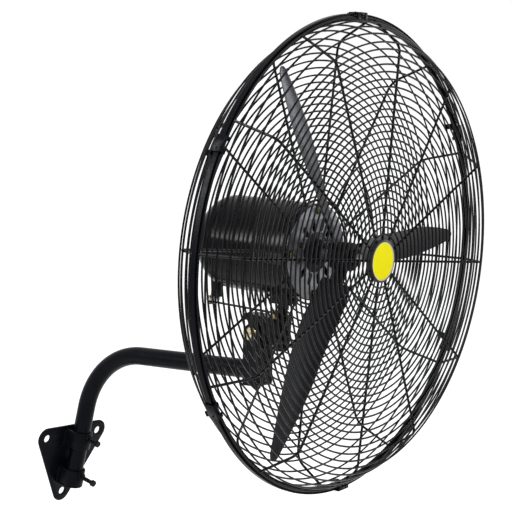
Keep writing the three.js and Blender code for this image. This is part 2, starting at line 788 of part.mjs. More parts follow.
// The crank's throw and the link's length follow from the two dead centres at the ends of the swing.
function pinDistance(swing) {
  const turnedPin = leverPin.clone().rotateAround(new THREE.Vector2(0, PIVOT_BACK), -swing);
  return turnedPin.distanceTo(crankCentre);
}

const shortest = Math.min(pinDistance(HALF_SWING), pinDistance(-HALF_SWING));
const longest = Math.max(pinDistance(HALF_SWING), pinDistance(-HALF_SWING));
const crankThrow = (longest - shortest) / 2;
const linkLength = (longest + shortest) / 2;

function crankPinPlace() {
  const toPin = leverPin.clone().sub(crankCentre);
  const distance = toPin.length();
  const cosine = (crankThrow ** 2 + distance ** 2 - linkLength ** 2) / (2 * crankThrow * distance);
  const direction = toPin.normalize().rotateAround(new THREE.Vector2(), -Math.acos(cosine));
  return crankCentre.clone().addScaledVector(direction, crankThrow);
}

const crankPin = crankPinPlace();

function gearbox() {
  const top = MOTOR_RADIUS / 2;
  const halfWidth = GEARBOX_WIDTH / 2 - GEARBOX_CORNER;
  const halfDepth = GEARBOX_DEPTH / 2 - GEARBOX_CORNER;
  const shape = wrapped(
    [
      [-halfWidth, CRANK_BACK - halfDepth],
      [halfWidth, CRANK_BACK - halfDepth],
      [halfWidth, CRANK_BACK + halfDepth],
      [-halfWidth, CRANK_BACK + halfDepth],
    ],
    GEARBOX_CORNER,
  );
  const box = toSolid(moved(extrude(shape, GEARBOX_FOOT - top, UPWARD, 4), 0, 0, -GEARBOX_FOOT));
  const cover = turned([[0, 0], [MOTOR_RADIUS + CLEARANCE, 0], ...domeOutline(CLEARANCE, DOME_STEPS)], MOTOR_SEGMENTS);
  const shaftHole = rodZ(5 + CLEARANCE, -GEARBOX_FOOT - 1, -GEARBOX_FOOT + 19, 0, CRANK_BACK, 16);
  return cut(box, cover, shaftHole);
}

place(headFrame, 'gearbox', gearbox(), castBlack);

function roundedBar(from, to, radius, thickness, foot) {
  const swapped = from.y > to.y ? [from, to] : [to, from];
  const shape = wrapped(swapped.map((end) => [end.x, end.y]), radius);
  return toSolid(moved(extrude(shape, thickness, UPWARD, 8), 0, 0, foot));
}

function crank() {
  const web = roundedBar(crankCentre, crankPin, 7, CRANK_THICKNESS, crankFoot);
  const stub = rodZ(5, crankFoot, -GEARBOX_FOOT + 18, crankCentre.x, crankCentre.y, 16);
  const hole = rodZ(LINK_PIN_RADIUS + CLEARANCE, crankFoot - 1, crankFoot + CRANK_THICKNESS + 1, crankPin.x, crankPin.y, 12);
  return cut(join(web, stub), hole);
}

place(headFrame, 'crank', crank(), bareSteel);

const crankScrewHead = crankFoot + CRANK_THICKNESS + CLEARANCE;
const crankNutTop = linkFoot - CLEARANCE;

function crankScrew() {
  const tip = crankNutTop - CRANK_NUT_HEIGHT - 0.6;
  return join(
    rodZ(LINK_PIN_RADIUS, tip, crankScrewHead + 1, crankPin.x, crankPin.y, 12),
    rodZ(hexRadius(CRANK_SCREW_FLATS), crankScrewHead, crankScrewHead + CRANK_SCREW_HEAD, crankPin.x, crankPin.y, 6),
  );
}

function crankNut() {
  const foot = crankNutTop - CRANK_NUT_HEIGHT;
  const hex = rodZ(hexRadius(CRANK_SCREW_FLATS), foot, crankNutTop, crankPin.x, crankPin.y, 6);
  return cut(hex, rodZ(LINK_PIN_RADIUS + CLEARANCE, foot - 1, crankNutTop + 1, crankPin.x, crankPin.y, 12));
}

place(headFrame, 'crank_screw', crankScrew(), brass);
place(headFrame, 'crank_nut', crankNut(), brass);

function linkPin() {
  const spacerTop = linkFoot - CLEARANCE;
  const spacer = rodZ(4.4, tableTop + CLEARANCE, spacerTop, leverPin.x, leverPin.y);
  const headFoot = linkTop + CLEARANCE;
  return join(
    spacer,
    rodZ(LINK_PIN_RADIUS, tableTop - TABLE_THICKNESS, headFoot + 1, leverPin.x, leverPin.y, 12),
    rodZ(hexRadius(LINK_PIN_FLATS), headFoot, headFoot + LINK_PIN_HEAD, leverPin.x, leverPin.y, 6),
  );
}

place(headFrame, 'link_pin', linkPin(), brass);

function linkRod() {
  const bar = roundedBar(crankPin, leverPin, LINK_WIDTH / 2, LINK_THICKNESS, linkFoot);
  const crankEye = rodZ(LINK_EYE_RADIUS, linkFoot, linkTop, crankPin.x, crankPin.y);
  const openEye = rodZ(OPEN_EYE_RADIUS, linkFoot, linkTop, leverPin.x, leverPin.y, 16);
  const crankHole = rodZ(LINK_PIN_RADIUS + CLEARANCE, linkFoot - 1, linkTop + 1, crankPin.x, crankPin.y, 12);
  const openHole = rodZ(
    LINK_PIN_RADIUS + OPEN_PIVOT_CLEARANCE,
    linkFoot - 1,
    linkTop + 1,
    leverPin.x,
    leverPin.y,
    12,
  );
  return cut(join(bar, crankEye, openEye), crankHole, openHole);
}

place(headFrame, 'link_rod', linkRod(), bareSteel);

// ---------------------------------------------------------------- rotor, hub and blades

function rotorShaft() {
  const core = STATOR_BORE - 1;
  return turned(
    [
      [0, -22],
      [SHAFT_RADIUS, -22],
      [SHAFT_RADIUS, STATOR_START],
      [core, STATOR_START],
      [core, STATOR_END],
      [SHAFT_RADIUS, STATOR_END],
      [SHAFT_RADIUS, shaftEnd],
      [0, shaftEnd],
    ],
    24,
  );
}

place(headFrame, 'rotor_shaft', rotorShaft(), bareSteel);

const bladePitch = (t) => THREE.MathUtils.degToRad(39 - 48 * t + 16 * t * t);

function bladeChord(radius) {
  const t = (radius - BLADE_ROOT_RADIUS) / (BLADE_TIP_RADIUS - BLADE_ROOT_RADIUS);
  const widest = 0.5;
  const body =
    t < widest ? 1 - 0.21 * (1 - t / widest) ** 2 : 1 - 0.62 * ((t - widest) / (1 - widest)) ** 1.6;
  const tipRound = 16;
  const intoTip = Math.max(0, (radius - (BLADE_TIP_RADIUS - tipRound)) / tipRound);
  return BLADE_CHORD * body * Math.sqrt(Math.max(0.02, 1 - intoTip ** 2));
}

// A cambered, twisted strip along +X. The higher edge of the chord leans forward.
function twistedStrip(radii, chordAt, camber, thickness, offset, across) {
  const span = BLADE_TIP_RADIUS - BLADE_ROOT_RADIUS;
  return radii.map((radius) => {
    const pitch = bladePitch((radius - BLADE_ROOT_RADIUS) / span);
    const chordLine = new THREE.Vector3(0, -Math.sin(pitch), Math.cos(pitch));
    const normal = new THREE.Vector3(0, Math.cos(pitch), Math.sin(pitch));
    const chord = chordAt(radius);
    const rows = { front: [], back: [] };
    for (let i = 0; i < across; i += 1) {
      const u = i / (across - 1) - 0.5;
      const bow = camber * chord * (1 - 4 * u * u);
      const middle = new THREE.Vector3(radius, BLADE_PLANE, 0)
        .addScaledVector(chordLine, u * chord + BLADE_SHIFT)
        .addScaledVector(normal, bow + offset);
      rows.front.push(middle.clone().addScaledVector(normal, -thickness / 2));
      rows.back.push(middle.clone().addScaledVector(normal, thickness / 2));
    }
    return rows;
  });
}

function blade() {
  const along = [0, 0.08, 0.19, 0.32, 0.46, 0.6, 0.73, 0.84, 0.92, 0.96, 0.985, 1];
  const radii = along.map((t) => BLADE_ROOT_RADIUS + t * (BLADE_TIP_RADIUS - BLADE_ROOT_RADIUS));
  return lofted(twistedStrip(radii, bladeChord, 0.05, BLADE_THICKNESS, 0, 5));
}

// A flat arm behind each blade, twisted with it and rounded at the end.
function spiderArm() {
  const offset = BLADE_THICKNESS / 2 + 0.05 * BLADE_CHORD + CLEARANCE + SPIDER_THICKNESS / 2;
  const halfEnd = 8;
  const width = (radius) => {
    const intoEnd = Math.max(0, (radius - (SPIDER_REACH - halfEnd)) / halfEnd);
    const taper = 26 - (10 * radius) / SPIDER_REACH;
    return taper * Math.sqrt(Math.max(0.04, 1 - intoEnd ** 2));
  };
  const radii = [14, 60, 110, SPIDER_REACH - halfEnd, SPIDER_REACH - 3, SPIDER_REACH];
  return lofted(twistedStrip(radii, width, 0, SPIDER_THICKNESS, offset, 2));
}

const bladeAngles = Array.from({ length: BLADE_COUNT }, (_, k) => BLADE_TURN + (360 / BLADE_COUNT) * k);

function fanHub() {
  const bore = SHAFT_RADIUS + CLEARANCE;
  const boss = turned(
    [
      [bore, HUB_FRONT],
      [HUB_RADIUS - 4, HUB_FRONT],
      [HUB_RADIUS, HUB_FRONT + 4],
      [HUB_RADIUS, HUB_BACK],
      [bore, HUB_BACK],
    ],
    24,
  );
  const arms = bladeAngles.map((angle) => turnedAbout(spiderArm(), angle));
  const shaftRoom = rodY(bore, HUB_FRONT - 1, HUB_BACK + 1, 0, 0, 24);
  return cut(join(boss, ...arms), shaftRoom);
}

place(headFrame, 'fan_hub', fanHub(), castBlack);
bladeAngles.forEach((angle, k) => {
  place(headFrame, `blade_${k + 1}`, turnedAbout(blade(), angle), bladeGrey);
});

function hubNut() {
  const back = HUB_FRONT - CLEARANCE;
  const hex = rodY(hexRadius(24), back - 9, back, 0, 0, 6);
  return cut(hex, rodY(SHAFT_RADIUS + CLEARANCE, back - 10, back + 1, 0, 0, 20));
}

place(headFrame, 'hub_nut', hubNut(), castBlack);

// ---------------------------------------------------------------- guards

const rimWireDepth = RIM_WIDTH / 2 + CLEARANCE + RIM_WIRE / 2;
const rimWireRadius = RIM_RADIUS - RIM_DEPTH / 2;
const ribInset = (RIB_WIRE + RING_WIRE) * 0.36; // ribs lie this much inside the rings

// A guard's outline in (radius, depth) coordinates, from the rim over the corner to the middle.
// The inset moves all but its start inwards.
function guardLine(cornerRadius, cornerDepth, faceDepth, innerRadius, inset) {
  return bentLine(
    new THREE.Vector2(rimWireRadius, rimWireDepth),
    new THREE.Vector2(cornerRadius - inset, cornerDepth - inset),
    new THREE.Vector2(innerRadius, faceDepth - inset),
    CORNER_BEND,
    4,
  );
}

// Points at an even pitch along the outline, each with the direction out of the guard.
function ringPlaces(line) {
  const places = [];
  let left = RING_PITCH;
  for (let i = 0; i + 1 < line.length; i += 1) {
    const from = line[i].point;
    const to = line[i + 1].point;
    const length = from.distanceTo(to);
    const along = to.clone().sub(from).normalize();
    while (left < length) {
      const outward = new THREE.Vector2(along.y, -along.x);
      places.push({ point: from.clone().addScaledVector(along, left), outward });
      left += RING_PITCH;
    }
    left -= length;
  }
  return places;
}

function wireRing(radius, y, wire, segments, facing) {
  const corners = [0, 1, 2].map((k) => {
    const angle = facing + (2 * Math.PI * k) / 3;
    return [radius + wire * 0.6 * Math.cos(angle), y + wire * 0.6 * Math.sin(angle)];
  });
  return turned(corners, segments);
}

function ribSection(wire) {
  const shape = new THREE.Shape();
  [0, 1, 2].forEach((k) => {
    const angle = Math.PI / 2 + (2 * Math.PI * k) / 3;
    const corner = [wire * 0.6 * Math.cos(angle), wire * 0.6 * Math.sin(angle)];
    if (k === 0) shape.moveTo(...corner);
    else shape.lineTo(...corner);
  });
  shape.closePath();
  return shape;
}

// Rings outside, ribs inside; side is -1 for the front guard and 1 for the rear one.
function guard(side, cornerRadius, cornerDepth, faceDepth, innerRadius) {
  const outline = guardLine(cornerRadius, cornerDepth, faceDepth, innerRadius, 0);
  const rings = ringPlaces(outline).map(({ point, outward }) => {
    const facing = Math.atan2(-side * outward.y, -outward.x);
    return wireRing(point.x, side * point.y, RING_WIRE, 2 * RIB_COUNT, facing);
  });
  const rim = wireRing(rimWireRadius, side * rimWireDepth, RIM_WIRE * 0.8, 4 * RIB_COUNT, 0);
  const inner = wireRing(innerRadius, side * faceDepth, RIM_WIRE, 2 * RIB_COUNT, 0);
  const line = guardLine(cornerRadius, cornerDepth, faceDepth, innerRadius, ribInset);
  const stations = inPlane(line, (radius, depth) => new THREE.Vector3(radius, side * depth, 0));
  const rib = swept(ribSection(RIB_WIRE), stations, 1);
  const ribs = Array.from({ length: RIB_COUNT }, (_, k) => turnedAbout(rib, (360 / RIB_COUNT) * k));
  return wasm.Manifold.union([rim, inner, ...rings, ...ribs]);
}

function frontGuard() {
  const cage = guard(-1, FRONT_CORNER_RADIUS, FRONT_CORNER_DEPTH, FRONT_FACE_DEPTH, FRONT_INNER_RADIUS);
  return turnedAbout(cage, GUARD_TURN);
}

// Ears reach in from the rear guard's inner ring under the bell's screws.
function rearGuard() {
  const wires = guard(1, REAR_CORNER_RADIUS, REAR_CORNER_DEPTH, REAR_FACE_DEPTH, REAR_INNER_RADIUS);
  const cage = turnedAbout(wires, GUARD_TURN);
  const ears = bellScrewPlaces().map(([x, z]) => {
    const reach = REAR_INNER_RADIUS / Math.hypot(x, z);
    const shape = wrapped(
      [
        [x, z],
        [x * reach, z * reach],
      ],
      7,
    );
    return toSolid(moved(extrude(shape, earThickness, ALONG_Y, 6), 0, earFront + earThickness, 0));
  });
  const stems = bellScrewPlaces().map(([x, z]) => {
    const reach = REAR_INNER_RADIUS / Math.hypot(x, z);
    return rodY(2.4, earFront + 0.5, REAR_FACE_DEPTH, x * reach, z * reach, 6);
  });
  const holes = bellScrewPlaces().map(([x, z]) =>
    rodY(BELL_SCREW_RADIUS + CLEARANCE, earFront - 1, BELL_FACE, x, z, 10),
  );
  return cut(join(cage, ...ears, ...stems), ...holes);
}

place(headFrame, 'rear_guard', rearGuard(), blackPaint);
place(headFrame, 'front_guard', frontGuard(), blackPaint);

function rimHoop() {
  const inner = RIM_RADIUS - RIM_DEPTH;
  const half = RIM_WIDTH / 2;
  return turned([[inner, -half], [RIM_RADIUS, -half], [RIM_RADIUS, half], [inner, half]], 4 * RIB_COUNT);
}

place(headFrame, 'rim_hoop', rimHoop(), blackPaint);

// Spring clips bridge both guards' rim wires over the hoop. A tongue runs back over the rear guard's side.
function clip() {
  const inside = rimWireDepth + RIM_WIRE / 2 + CLEARANCE;
  const outside = inside + CLIP_SHEET;
  const top = RIM_RADIUS + CLEARANCE;
  const leg = RIM_RADIUS - RIM_DEPTH + 3;
  const rim = new THREE.Vector2(rimWireRadius, rimWireDepth);
  const along = new THREE.Vector2(REAR_CORNER_RADIUS, REAR_CORNER_DEPTH).sub(rim).normalize();
  const outward = new THREE.Vector2(along.y, -along.x);
  const onTongue = (reach, lift) => rim.clone().addScaledVector(along, reach).addScaledVector(outward, lift);
  const under = RIB_WIRE * 0.6 + CLEARANCE;
  const over = under + CLIP_SHEET;
  const shape = new THREE.Shape([
    new THREE.Vector2(leg, -outside),
    new THREE.Vector2(top + CLIP_SHEET - 2, -outside),
    new THREE.Vector2(top + CLIP_SHEET, -outside + 2),
    new THREE.Vector2(top + CLIP_SHEET, outside - 2),
    onTongue(6, over),
    onTongue(CLIP_TONGUE, over),
    onTongue(CLIP_TONGUE + CLIP_LEVER + 1, over + CLIP_LEVER),
    onTongue(CLIP_TONGUE + CLIP_LEVER + 2.4, over + CLIP_LEVER - 1.6),
    onTongue(CLIP_TONGUE + 1.2, under),
    onTongue(6, under),
    new THREE.Vector2(leg, outside),
    new THREE.Vector2(leg, inside),
    new THREE.Vector2(top, inside),
    new THREE.Vector2(top, -inside),
    new THREE.Vector2(leg, -inside),
  ]);
  return toSolid(moved(extrude(shape, CLIP_LENGTH, UPWARD), 0, 0, -CLIP_LENGTH / 2));
}

for (let k = 0; k < CLIP_COUNT; k += 1) {
  place(headFrame, `rim_clip_${k + 1}`, turnedAbout(clip(), CLIP_TURN + (360 / CLIP_COUNT) * k), castBlack);
}

// ---------------------------------------------------------------- front hub cup and badge

const cupOuter = FRONT_INNER_RADIUS - RIM_WIRE / 2 - CLEARANCE;
const cupFront = -(FRONT_FACE_DEPTH + 5);

function hubCup() {
  const flangeFront = -(FRONT_FACE_DEPTH - ribInset - RIB_WIRE * 0.6 - CLEARANCE);
  const recess = BADGE_RADIUS + CLEARANCE;
  const floor = cupFront + BADGE_THICKNESS + CLEARANCE;
  return turned(
    [
      [0, floor],
      [recess, floor],
      [recess, cupFront],
      [cupOuter - 1, cupFront],
      [cupOuter, cupFront + 1],
      [cupOuter, flangeFront],
      [cupOuter + 7, flangeFront],
      [cupOuter + 7, flangeFront + 2],
      [0, flangeFront + 2],
    ],
    24,
  );
}

place(headFrame, 'hub_cup', hubCup(), blackPlastic);

function badge() {
  return turned(
    [
      [0, cupFront],
      [BADGE_RADIUS - 1, cupFront],
      [BADGE_RADIUS, cupFront + 0.6],
      [BADGE_RADIUS, cupFront + BADGE_THICKNESS],
      [0, cupFront + BADGE_THICKNESS],
    ],
    24,
  );
}

place(headFrame, 'badge_disc', badge(), yellowPlastic);

export default fan;
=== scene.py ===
import math

import bmesh
import bpy
from mathutils import Matrix, Vector

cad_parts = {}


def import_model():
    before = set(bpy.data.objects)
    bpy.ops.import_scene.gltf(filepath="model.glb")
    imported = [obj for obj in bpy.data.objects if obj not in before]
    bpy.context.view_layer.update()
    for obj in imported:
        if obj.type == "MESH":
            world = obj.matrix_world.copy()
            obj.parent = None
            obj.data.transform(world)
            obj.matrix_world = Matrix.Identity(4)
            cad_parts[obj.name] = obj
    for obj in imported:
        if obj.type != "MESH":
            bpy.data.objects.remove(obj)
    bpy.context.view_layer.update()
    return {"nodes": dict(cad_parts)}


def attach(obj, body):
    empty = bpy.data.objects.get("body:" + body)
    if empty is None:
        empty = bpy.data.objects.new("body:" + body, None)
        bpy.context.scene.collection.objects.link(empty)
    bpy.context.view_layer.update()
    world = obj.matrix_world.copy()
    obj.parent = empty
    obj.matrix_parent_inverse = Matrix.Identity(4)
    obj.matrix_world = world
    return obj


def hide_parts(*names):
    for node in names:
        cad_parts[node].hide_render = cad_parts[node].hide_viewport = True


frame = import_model()
NODES = frame["nodes"]

# ------------------------------------------------------------------ frames, in millimetres
MM = 0.001
TILT_POINT = Vector((0, -391, 401))
GUARD_CENTRE = Vector((0, -177, 155.5))
ARM_RISE = math.radians(14)
HEAD_TILT = math.radians(10)
ARM = Matrix.Translation(TILT_POINT) @ Matrix.Rotation(-ARM_RISE, 4, "X")
HEAD = (Matrix.Translation(TILT_POINT) @ Matrix.Rotation(-HEAD_TILT, 4, "X")
        @ Matrix.Translation(GUARD_CENTRE))

# Planes for flat outlines: columns are the outline's x, y and its thickness direction.
FLAT_Z = Matrix.Identity(4)
FLAT_Y = Matrix(((1, 0, 0, 0), (0, 0, -1, 0), (0, 1, 0, 0), (0, 0, 0, 1)))
FLAT_X = Matrix(((0, 0, 1, 0), (1, 0, 0, 0), (0, 1, 0, 0), (0, 0, 0, 1)))


# ------------------------------------------------------------------ camera, in metres
LENS = 94.14
CAMERA_AT = (-1.86170, -1.72378, 0.98476)
CAMERA_RIGHT = (0.61299, -0.76201, 0.20876)
CAMERA_BACK = (-0.78969, -0.58248, 0.19264)


def add_camera():
    data = bpy.data.cameras.new("camera")
    data.lens = LENS
    data.sensor_width = 36
    data.sensor_fit = "HORIZONTAL"
    data.clip_end = 100
    cam = bpy.data.objects.new("camera", data)
    right = Vector(CAMERA_RIGHT).normalized()
    back = Vector(CAMERA_BACK).normalized()
    up = back.cross(right).normalized()
    place = Matrix((right, up, back)).transposed().to_4x4()
    place.translation = Vector(CAMERA_AT)
    cam.matrix_world = place
    bpy.context.scene.collection.objects.link(cam)
    bpy.context.scene.camera = cam


add_camera()


# ------------------------------------------------------------------ materials
def new_material(name):
    mat = bpy.data.materials.new(name)
    mat.use_nodes = True
    tree = mat.node_tree
    tree.nodes.clear()
    out = tree.nodes.new("ShaderNodeOutputMaterial")
    bsdf = tree.nodes.new("ShaderNodeBsdfPrincipled")
    tree.links.new(bsdf.outputs["BSDF"], out.inputs["Surface"])
    return mat, tree, bsdf


def noise(tree, scale, detail=3.0, rough=0.5, stretch=None):
    coord = tree.nodes.new("ShaderNodeTexCoord")
    tex = tree.nodes.new("ShaderNodeTexNoise")
    tex.inputs["Scale"].default_value = scale
    tex.inputs["Detail"].default_value = detail
    tex.inputs["Roughness"].default_value = rough
    if stretch:
        mapping = tree.nodes.new("ShaderNodeMapping")
        mapping.inputs["Scale"].default_value = stretch[0]
        mapping.inputs["Rotation"].default_value = stretch[1]
        tree.links.new(coord.outputs["Object"], mapping.inputs["Vector"])
        tree.links.new(mapping.outputs["Vector"], tex.inputs["Vector"])
    else:
        tree.links.new(coord.outputs["Object"], tex.inputs["Vector"])
    return tex.outputs["Fac"]


def ramp(tree, value, low, high, a, b):
    node = tree.nodes.new("ShaderNodeMapRange")
    node.inputs["From Min"].default_value = low
    node.inputs["From Max"].default_value = high
    node.inputs["To Min"].default_value = a
    node.inputs["To Max"].default_value = b
    tree.links.new(value, node.inputs["Value"])
    return node.outputs["Result"]


def mix_colour(tree, fac, a, b):
    node = tree.nodes.new("ShaderNodeMix")
    node.data_type = "RGBA"
    tree.links.new(fac, node.inputs["Factor"])
    for socket, colour in (("A", a), ("B", b)):
        target = [s for s in node.inputs if s.name == socket and s.type == "RGBA"][0]
        if isinstance(colour, (tuple, list)):
            target.default_value = (*colour, 1)
        else:
            tree.links.new(colour, target)
    return [s for s in node.outputs if s.type == "RGBA"][0]


def add_bump(tree, bsdf, heights):
    normal = None
    for value, strength, distance in heights:
        node = tree.nodes.new("ShaderNodeBump")
        node.inputs["Strength"].default_value = strength
        node.inputs["Distance"].default_value = distance
        tree.links.new(value, node.inputs["Height"])
        if normal is not None:
            tree.links.new(normal, node.inputs["Normal"])
        normal = node.outputs["Normal"]
    tree.links.new(normal, bsdf.inputs["Normal"])


def upward(tree):
    geo = tree.nodes.new("ShaderNodeNewGeometry")
    split = tree.nodes.new("ShaderNodeSeparateXYZ")
    tree.links.new(geo.outputs["Normal"], split.inputs["Vector"])
    return split.outputs["Z"]


def joined(tree, operation, a, b):
    node = tree.nodes.new("ShaderNodeMath")
    node.operation = operation
    tree.links.new(a, node.inputs[0])
    tree.links.new(b, node.inputs[1])
    return node.outputs["Value"]


DUST = (0.16, 0.16, 0.165)


def coated(name, dark, pale, rough, grain, grain_height, dust, specular=0.06,
           peel_height=0.0003, spread=0.16):
    """Enamel or powder coat: clouded colour, dust on upward faces, grain and orange peel."""
    mat, tree, bsdf = new_material(name)
    clouds = noise(tree, 38, 5, 0.6)
    fine = noise(tree, grain, 2, 0.5)
    peel = noise(tree, 260, 2, 0.4)
    scuff = noise(tree, 120, 6, 0.7)
    base = mix_colour(tree, ramp(tree, clouds, 0.35, 0.7, 0, 1), dark, pale)
    dusty = joined(tree, "MULTIPLY", ramp(tree, upward(tree), 0.2, 1.0, 0, dust),
                   ramp(tree, scuff, 0.42, 0.66, 0, 1))
    base = mix_colour(tree, dusty, base, DUST)
    tree.links.new(base, bsdf.inputs["Base Color"])
    roughness = ramp(tree, scuff, 0.3, 0.75, rough - 0.4 * spread, rough + 0.6 * spread)
    tree.links.new(roughness, bsdf.inputs["Roughness"])
    bsdf.inputs["Specular IOR Level"].default_value = specular
    add_bump(tree, bsdf, [(fine, 0.35, grain_height), (peel, 0.25, peel_height)])
    return mat


def metal(name, a, b, rough, scale=90, brush=None, bump=0.00006):
    """Bare or plated metal in patches of two colours; brush is a stretch and a turn of its lines."""
    mat, tree, bsdf = new_material(name)
    patches = noise(tree, scale, 5, 0.65)
    lines = noise(tree, 500, 3, 0.6, brush) if brush else noise(tree, 1400, 2, 0.5)
    colour = mix_colour(tree, ramp(tree, patches, 0.35, 0.68, 0, 1), a, b)
    tree.links.new(colour, bsdf.inputs["Base Color"])
    tree.links.new(ramp(tree, lines, 0.3, 0.7, rough - 0.08, rough + 0.12), bsdf.inputs["Roughness"])
    bsdf.inputs["Metallic"].default_value = 1.0
    add_bump(tree, bsdf, [(lines, 0.5, bump)])
    return mat


def plastic(name, a, b, rough, grain_scale, height, specular=0.2):
    """Moulded plastic: two near colours and a fine grain."""
    mat, tree, bsdf = new_material(name)
    clouds = noise(tree, 60, 4, 0.55)
    grain = noise(tree, grain_scale, 2, 0.5)
    colour = mix_colour(tree, ramp(tree, clouds, 0.3, 0.7, 0, 1), a, b)
    tree.links.new(colour, bsdf.inputs["Base Color"])
    tree.links.new(ramp(tree, clouds, 0.3, 0.7, rough - 0.04, rough + 0.06), bsdf.inputs["Roughness"])
    bsdf.inputs["Specular IOR Level"].default_value = specular
    add_bump(tree, bsdf, [(grain, 0.4, height)])
    return mat


WIRE = coated("wire_black", (0.0016, 0.0016, 0.0023), (0.0034, 0.0034, 0.0047), 0.26, 1500, 0.00006,
              dust=0.0, specular=0.11)
COAT = coated("powder_black", (0.002, 0.0022, 0.0034), (0.005, 0.0054, 0.0076), 0.36, 1300, 0.00012,
              dust=0.04, specular=0.045)
GLOSS = coated("enamel_black", (0.0018, 0.002, 0.0032), (0.004, 0.0045, 0.0068), 0.26, 1600, 0.00004,
               dust=0.02, specular=0.045)
SHELL = coated("motor_black", (0.001, 0.0012, 0.0018), (0.002, 0.0023, 0.0034), 0.17, 900, 0.00002,
               dust=0.01, specular=0.065, peel_height=0.00008, spread=0.06)
CAST = coated("cast_black", (0.0028, 0.0031, 0.0044), (0.0066, 0.0071, 0.0095), 0.34, 700, 0.0002,
              dust=0.03, specular=0.08, peel_height=0.0002, spread=0.1)
BELL = metal("bell_grey", (0.205, 0.208, 0.22), (0.225, 0.228, 0.24), 0.38, scale=30, bump=0.00001)
BLADE = coated("blade_charcoal", (0.0036, 0.004, 0.0058), (0.006, 0.0066, 0.0092), 0.3, 1200, 0.00003,
               dust=0.02, specular=0.14, peel_height=0.00003, spread=0.05)
STEEL = metal("steel", (0.42, 0.43, 0.45), (0.6, 0.6, 0.61), 0.32, brush=((1, 1, 8), (0, 0, 0)))
ZINC = metal("yellow_zinc", (0.2, 0.165, 0.05), (0.72, 0.68, 0.48), 0.24, scale=190)
BRASS = metal("brass", (0.2, 0.16, 0.06), (0.42, 0.36, 0.18), 0.32, scale=180)
WINDING = metal("winding", (0.05, 0.018, 0.008), (0.12, 0.045, 0.02), 0.5, scale=300, bump=0.0003)
YELLOW = plastic("badge_yellow", (0.94, 0.83, 0.0), (0.97, 0.87, 0.0), 0.45, 1400, 0.00002,
                 specular=0.05)
BLACK = plastic("black_plastic", (0.008, 0.008, 0.009), (0.013, 0.013, 0.015), 0.4, 1100, 0.00012)


# ------------------------------------------------------------------ outlines and rings of points
def polar(radius, angle):
    return radius * math.cos(angle), radius * math.sin(angle)


def circle(x, y, radius, count=32):
    return [(x + radius * math.cos(2 * math.pi * k / count), y + radius * math.sin(2 * math.pi * k / count))
            for k in range(count)]


def ring_round_y(radius, y, count):
    return [(x, y, z) for x, z in circle(0, 0, radius, count)]


def ring_round_z(radius, z, count):
    return [(x, y, z) for x, y in circle(0, 0, radius, count)]


def ring_between(centre, radius, count, first, second):
    """A ring round a centre, in the plane of two unit vectors."""
    return [centre + radius * (c * first + s * second) for c, s in circle(0, 0, 1, count)]


def arc(x, y, radius, start, end, count):
    return [(x + radius * math.cos(math.radians(start + (end - start) * k / count)),
             y + radius * math.sin(math.radians(start + (end - start) * k / count))) for k in range(count + 1)]


def wrapped(corners, radius, count=8):
    """The outline round equal circles at the corners of a convex, counter-clockwise polygon."""
    loop = []
    size = len(corners)
    normals = []
    for i, (x, y) in enumerate(corners):
        nx, ny = corners[(i + 1) % size]
        normals.append(math.degrees(math.atan2(x - nx, ny - y)))
    for i, (x, y) in enumerate(corners):
        start, end = normals[i - 1], normals[i]
        while end < start:
            end += 360
        loop += arc(x, y, radius, start, end, count)
    return loop


# ------------------------------------------------------------------ meshes
ON_AXIS = 1e-6  # a turned point nearer to the axis than this lies on it
HEX_POINTS = 24
ROD_SIDES = 32


